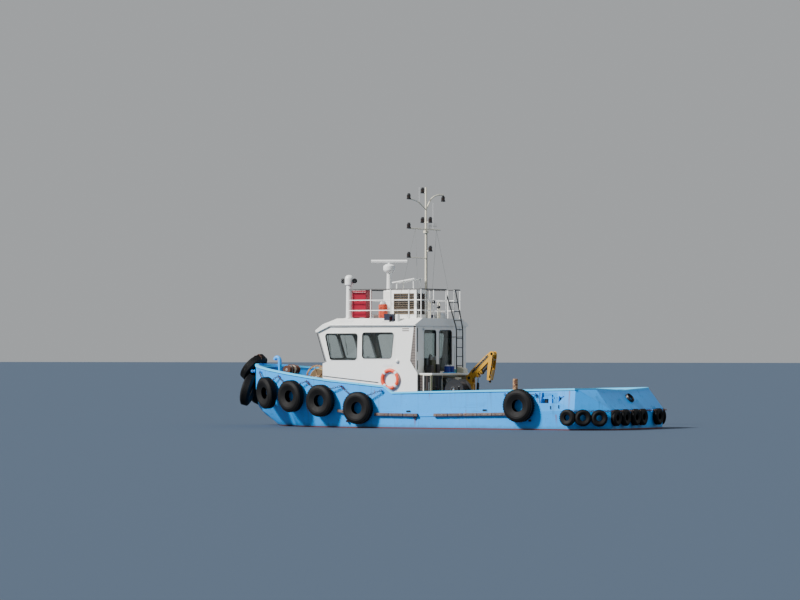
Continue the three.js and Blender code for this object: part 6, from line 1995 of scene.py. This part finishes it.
def underwater(side):
    sign = 1 if side == "port" else -1
    y = SHAFT_Y * sign
    line = Piece("shaft_line_" + side)
    line.rod((-2.9, y, SHAFT_Z), (-5.0, y, SHAFT_Z), 0.045, "shaft", 28)
    line.lathe([(0.0455, 4.82), (0.075, 4.82), (0.085, 4.84), (0.085, 4.985), (0.075, 5.0), (0.0455, 5.0),
        (0.0455, 4.82)], (0, y, SHAFT_Z), AFT, "antifouling", 32)
    line.lathe([(0.0455, 2.95), (0.08, 2.95), (0.08, 3.30), (0.065, 3.34), (0.0455, 3.34), (0.0455, 2.95)],
        (0, y, SHAFT_Z), AFT, "antifouling", 32)
    line.prism([(-5.0, -0.30), (-4.84, -0.30), (-4.84, -1.10), (-5.0, -1.10)], "y", (y - 0.022, y + 0.022),
        "antifouling", 0.008)
    line.rod((-4.2, y, SHAFT_Z), (-4.12, y, SHAFT_Z), 0.075, "zinc", 24, soft=0.02)
    line.done(replaces=("shaft_" + side,))

    screw = Piece("screw_" + side)
    screw.lathe([(0, 5.0003), (0.088, 5.0003), (0.095, 5.02), (0.090, 5.20), (0.072, 5.325), (0.055, 5.365),
        (0.025, 5.388), (0, 5.39)], (0, y, SHAFT_Z), AFT, "bronze", 36)
    for k in range(4):
        turn = Matrix.Rotation(math.pi / 2 * k + math.pi / 4, 4, "X")
        root = Matrix.Translation((-5.165, y, SHAFT_Z)) @ turn
        if sign < 0:
            root = root @ Matrix.Scale(-1, 4, PORT)
        screw_blade(screw, root)
    screw.done("propeller_" + side, replaces=("propeller_" + side,))

    blade = Piece("rudder_blade_" + side)
    x = -5.9
    outline = [(x + 0.20, y), (x + 0.185, y + 0.018), (x + 0.12, y + 0.029), (x, y + 0.030),
        (x - 0.12, y + 0.026), (x - 0.42, y + 0.006), (x - 0.42, y - 0.006), (x - 0.12, y - 0.026),
        (x, y - 0.030), (x + 0.12, y - 0.029), (x + 0.185, y - 0.018)]
    blade.prism(outline, "z", (-1.59, -0.74), "antifouling", 0.004)
    blade.rod((x, y, -0.76), (x, y, -0.6803), 0.048, "steel", 24)
    for z in (-1.40, -1.17, -0.94):
        blade.box((x - 0.30, y - 0.021, z - 0.014), (x + 0.10, y + 0.021, z + 0.014), "antifouling", 0.006)
    blade.done("rudder_" + side, replaces=("rudder_" + side,))


for side in ("port", "starboard"):
    underwater(side)


# ---- Inside the wheelhouse

def pad(name, place, half_x, half_y, half_z, channels):
    """A stuffed pad: crowned face with sewn channels, drawn-in sides and piping round its seam."""
    piece = Piece(name)
    cols, rows = 28, 36
    grid = []
    for side in (1, -1):
        for j in range(rows + 1):
            for i in range(cols + 1):
                a, b = 2 * i / cols - 1, 2 * j / rows - 1
                x = a * half_x * (1 - 0.035 * (1 - b * b))
                y = b * half_y * (1 - 0.035 * (1 - a * a))
                edge = (1 - abs(a) ** 5) ** 0.45 * (1 - abs(b) ** 5) ** 0.45
                seam = abs(math.sin(math.pi * channels * (b + 1) / 2)) ** 0.5
                bulge = 0.80 + 0.12 * seam + 0.08 * (1 - a * a) if side > 0 else 0.92
                crown = half_z * edge * bulge
                grid.append(place @ Vector((x, y, side * max(crown, 0.012))))
    faces = []
    n, sheet = cols + 1, (cols + 1) * (rows + 1)
    for j in range(rows):
        for i in range(cols):
            k = j * n + i
            faces.append((k, k + 1, k + n + 1, k + n))
            faces.append((sheet + k, sheet + k + n, sheet + k + n + 1, sheet + k + 1))
    rim = list(range(cols)) + [j * n + cols for j in range(rows)] + [rows * n + i for i in range(cols, 0, -1)]
    rim += [j * n for j in range(rows, 0, -1)]
    for a, b in zip(rim, rim[1:] + rim[:1]):
        faces.append((b, a, sheet + a, sheet + b))
    piece.add(grid, faces, "leather")
    line = [(grid[k] + grid[k + sheet]) / 2 for k in rim]
    piece.tube(line[::2], 0.006, "leather", 8, 0, True)
    obj = piece.done(replaces=("helm_seat",))


def helm():
    piece = Piece("helm_console_fitted")
    outline = [(2.35, 1.3503), (3.20, 1.3503), (3.10, 2.12), (2.70, 2.26), (2.45, 2.18)]
    piece.prism(outline, "y", (-0.90, 0.90), "interior", 0.012)
    slope = (Vector((2.70, 0, 2.26)) - Vector((2.45, 0, 2.18))).normalized()
    up = slope.cross(Vector(PORT)) * -1
    face = flat(Vector((2.45, 0, 2.18)), PORT, slope)
    for y0, y1 in ((-0.85, -0.50), (-0.44, -0.16), (0.30, 0.84)):
        edge = [(y0, 0.03), (y1, 0.03), (y1, 0.25), (y0, 0.25)]
        ring(piece, rounded(inset(edge, -0.010), 0.02), rounded(inset(edge, 0.006), 0.012), (-0.002, 0.010),
            "panel", face)
        piece.add([face @ Vector((a, b, c)) for c in (-0.002, 0.004) for a, b in edge], capped(4), "screen")
    for k in range(12):
        spot = face @ Vector((-0.10 + 0.055 * (k % 6), 0.07 + 0.06 * (k // 6), 0.0))
        piece.rod(spot - up * 0.002, spot + up * 0.012, 0.012, ("black", "red", "lid")[k % 3], 12, soft=0.003)
    hub = Vector((2.33, 0, 1.98))
    tilt = Vector((-0.9, 0, 0.35)).normalized()
    piece.rod(hub + Vector((0.10, 0, -0.03)), hub, 0.03, "black", 16)
    u, v, _ = basis(tilt)
    piece.tube([hub + (u * c + v * s) * 0.19 for c, s in circle(24)], 0.013, "leather", 10, 0, True)
    for c, s in circle(3, 0.5):
        piece.rod(hub, hub + (u * c + v * s) * 0.185, 0.008, "chrome", 10)
    for y in (-0.08, 0.02):
        base = face @ Vector((y + 0.24, 0.10, 0.0))
        piece.rod(base, base + Vector((-0.02, 0, 0.12)), 0.009, "chrome", 12)
        piece.ball(base + Vector((-0.02, 0, 0.125)), 0.020, "black", 14, 10)
    piece.done(replaces=("helm_console",))

    post = Piece("helm_seat_post")
    post.rod((1.75, 0, 1.35), (1.75, 0, 1.795), 0.045, "chrome", 28)
    post.rod((1.75, 0, 1.35), (1.75, 0, 1.45), 0.06, "black", 28, soft=0.01)
    post.box((1.55, -0.22, 1.3503), (1.95, 0.22, 1.375), "black", 0.010)
    post.box((1.54, -0.20, 1.78), (1.96, 0.20, 1.80), "black", 0.006)
    for side in (-1, 1):
        post.tube(corner_path([(1.58, side * 0.225, 1.79), (1.58, side * 0.27, 1.79),
            (1.58, side * 0.27, 2.02), (1.90, side * 0.27, 2.02)], 0.04), 0.014, "chrome", 12)
        post.rod((1.66, side * 0.27, 2.035), (1.90, side * 0.27, 2.035), 0.024, "leather", 16, soft=0.01)
    post.prism([(1.475, 1.80), (1.50, 1.80), (1.50, 2.0), (1.475, 2.0)], "y", (-0.10, 0.10), "black", 0.003)
    post.done(replaces=("helm_seat",))
    seat = flat((1.762, 0, 1.857), PORT, AFT)
    pad("helm_seat_cushion", seat, 0.245, 0.232, 0.060, 4)
    lean = Vector((-0.095, 0, 0.67)).normalized()
    back = flat((1.503, 0, 2.265), PORT, lean)
    pad("helm_seat_back", back, 0.235, 0.335, 0.045, 5)


helm()


# ---- Nodes of the frame that keep their shape

SLOT_FINISH = {
    "hull_blue": "hull", "house_white": "white", "mast_cream": "cream", "tyre_rubber": "tyre",
    "belting_rubber": "belting", "shaft_steel": "shaft", "screw_bronze": "bronze", "window_glass": "glass",
    "interior_grey": "interior", "seat_black": "leather", "crane_yellow": "yellow", "black_paint": "black",
    "rod_chrome": "chrome", "locker_red": "red", "buoy_orange": "orange", "box_blue": "drum",
    "rust_iron": "rust", "rope_tan": "rope",
}
for item in frame["record"]["subparts"]:
    shown = NODES[item["node"]].data.materials
    shown.clear()
    # The aft wall's glass takes the darker copy: painted shade.
    shown.append(M["glass_painted_shade" if item["node"] == "glass_aft" else SLOT_FINISH[item["material_slot"]]])


# ---- Floor, light and finish

def stage():
    """A plain floor at the waterline, under soft light from all round."""
    mesh = bpy.data.meshes.new("floor")
    far = 900.0
    mesh.from_pydata([(-far, -far, 0), (far, -far, 0), (far, far, 0), (-far, far, 0)], [], [(0, 1, 2, 3)])
    floor = link(bpy.data.objects.new("floor", mesh))
    finish = Finish("floor_plain")
    finish.set(Base_Color=(0.055, 0.08, 0.12, 1.0), Roughness=0.85, Specular_IOR_Level=0.1)
    mesh.materials.append(finish.material)
    lights = [("key", (-0.44, -0.66, -0.60), 8.0, 10.0, (1.0, 0.98, 0.95)),
              ("fill", (0.75, 0.45, -0.5), 0.5, 60.0, (0.9, 0.95, 1.0))]
    for name, direction, strength, spread, colour in lights:
        data = bpy.data.lights.new(name, "SUN")
        data.energy, data.angle, data.color = strength, math.radians(spread), colour
        aim(link(bpy.data.objects.new(name, data)), direction)
    world = bpy.data.worlds.new("studio")
    world.use_nodes = True
    SCENE.world = world
    back = world.node_tree.nodes["Background"]
    back.inputs["Color"].default_value = (0.53, 0.55, 0.565, 1.0)
    back.inputs["Strength"].default_value = 0.75


stage()
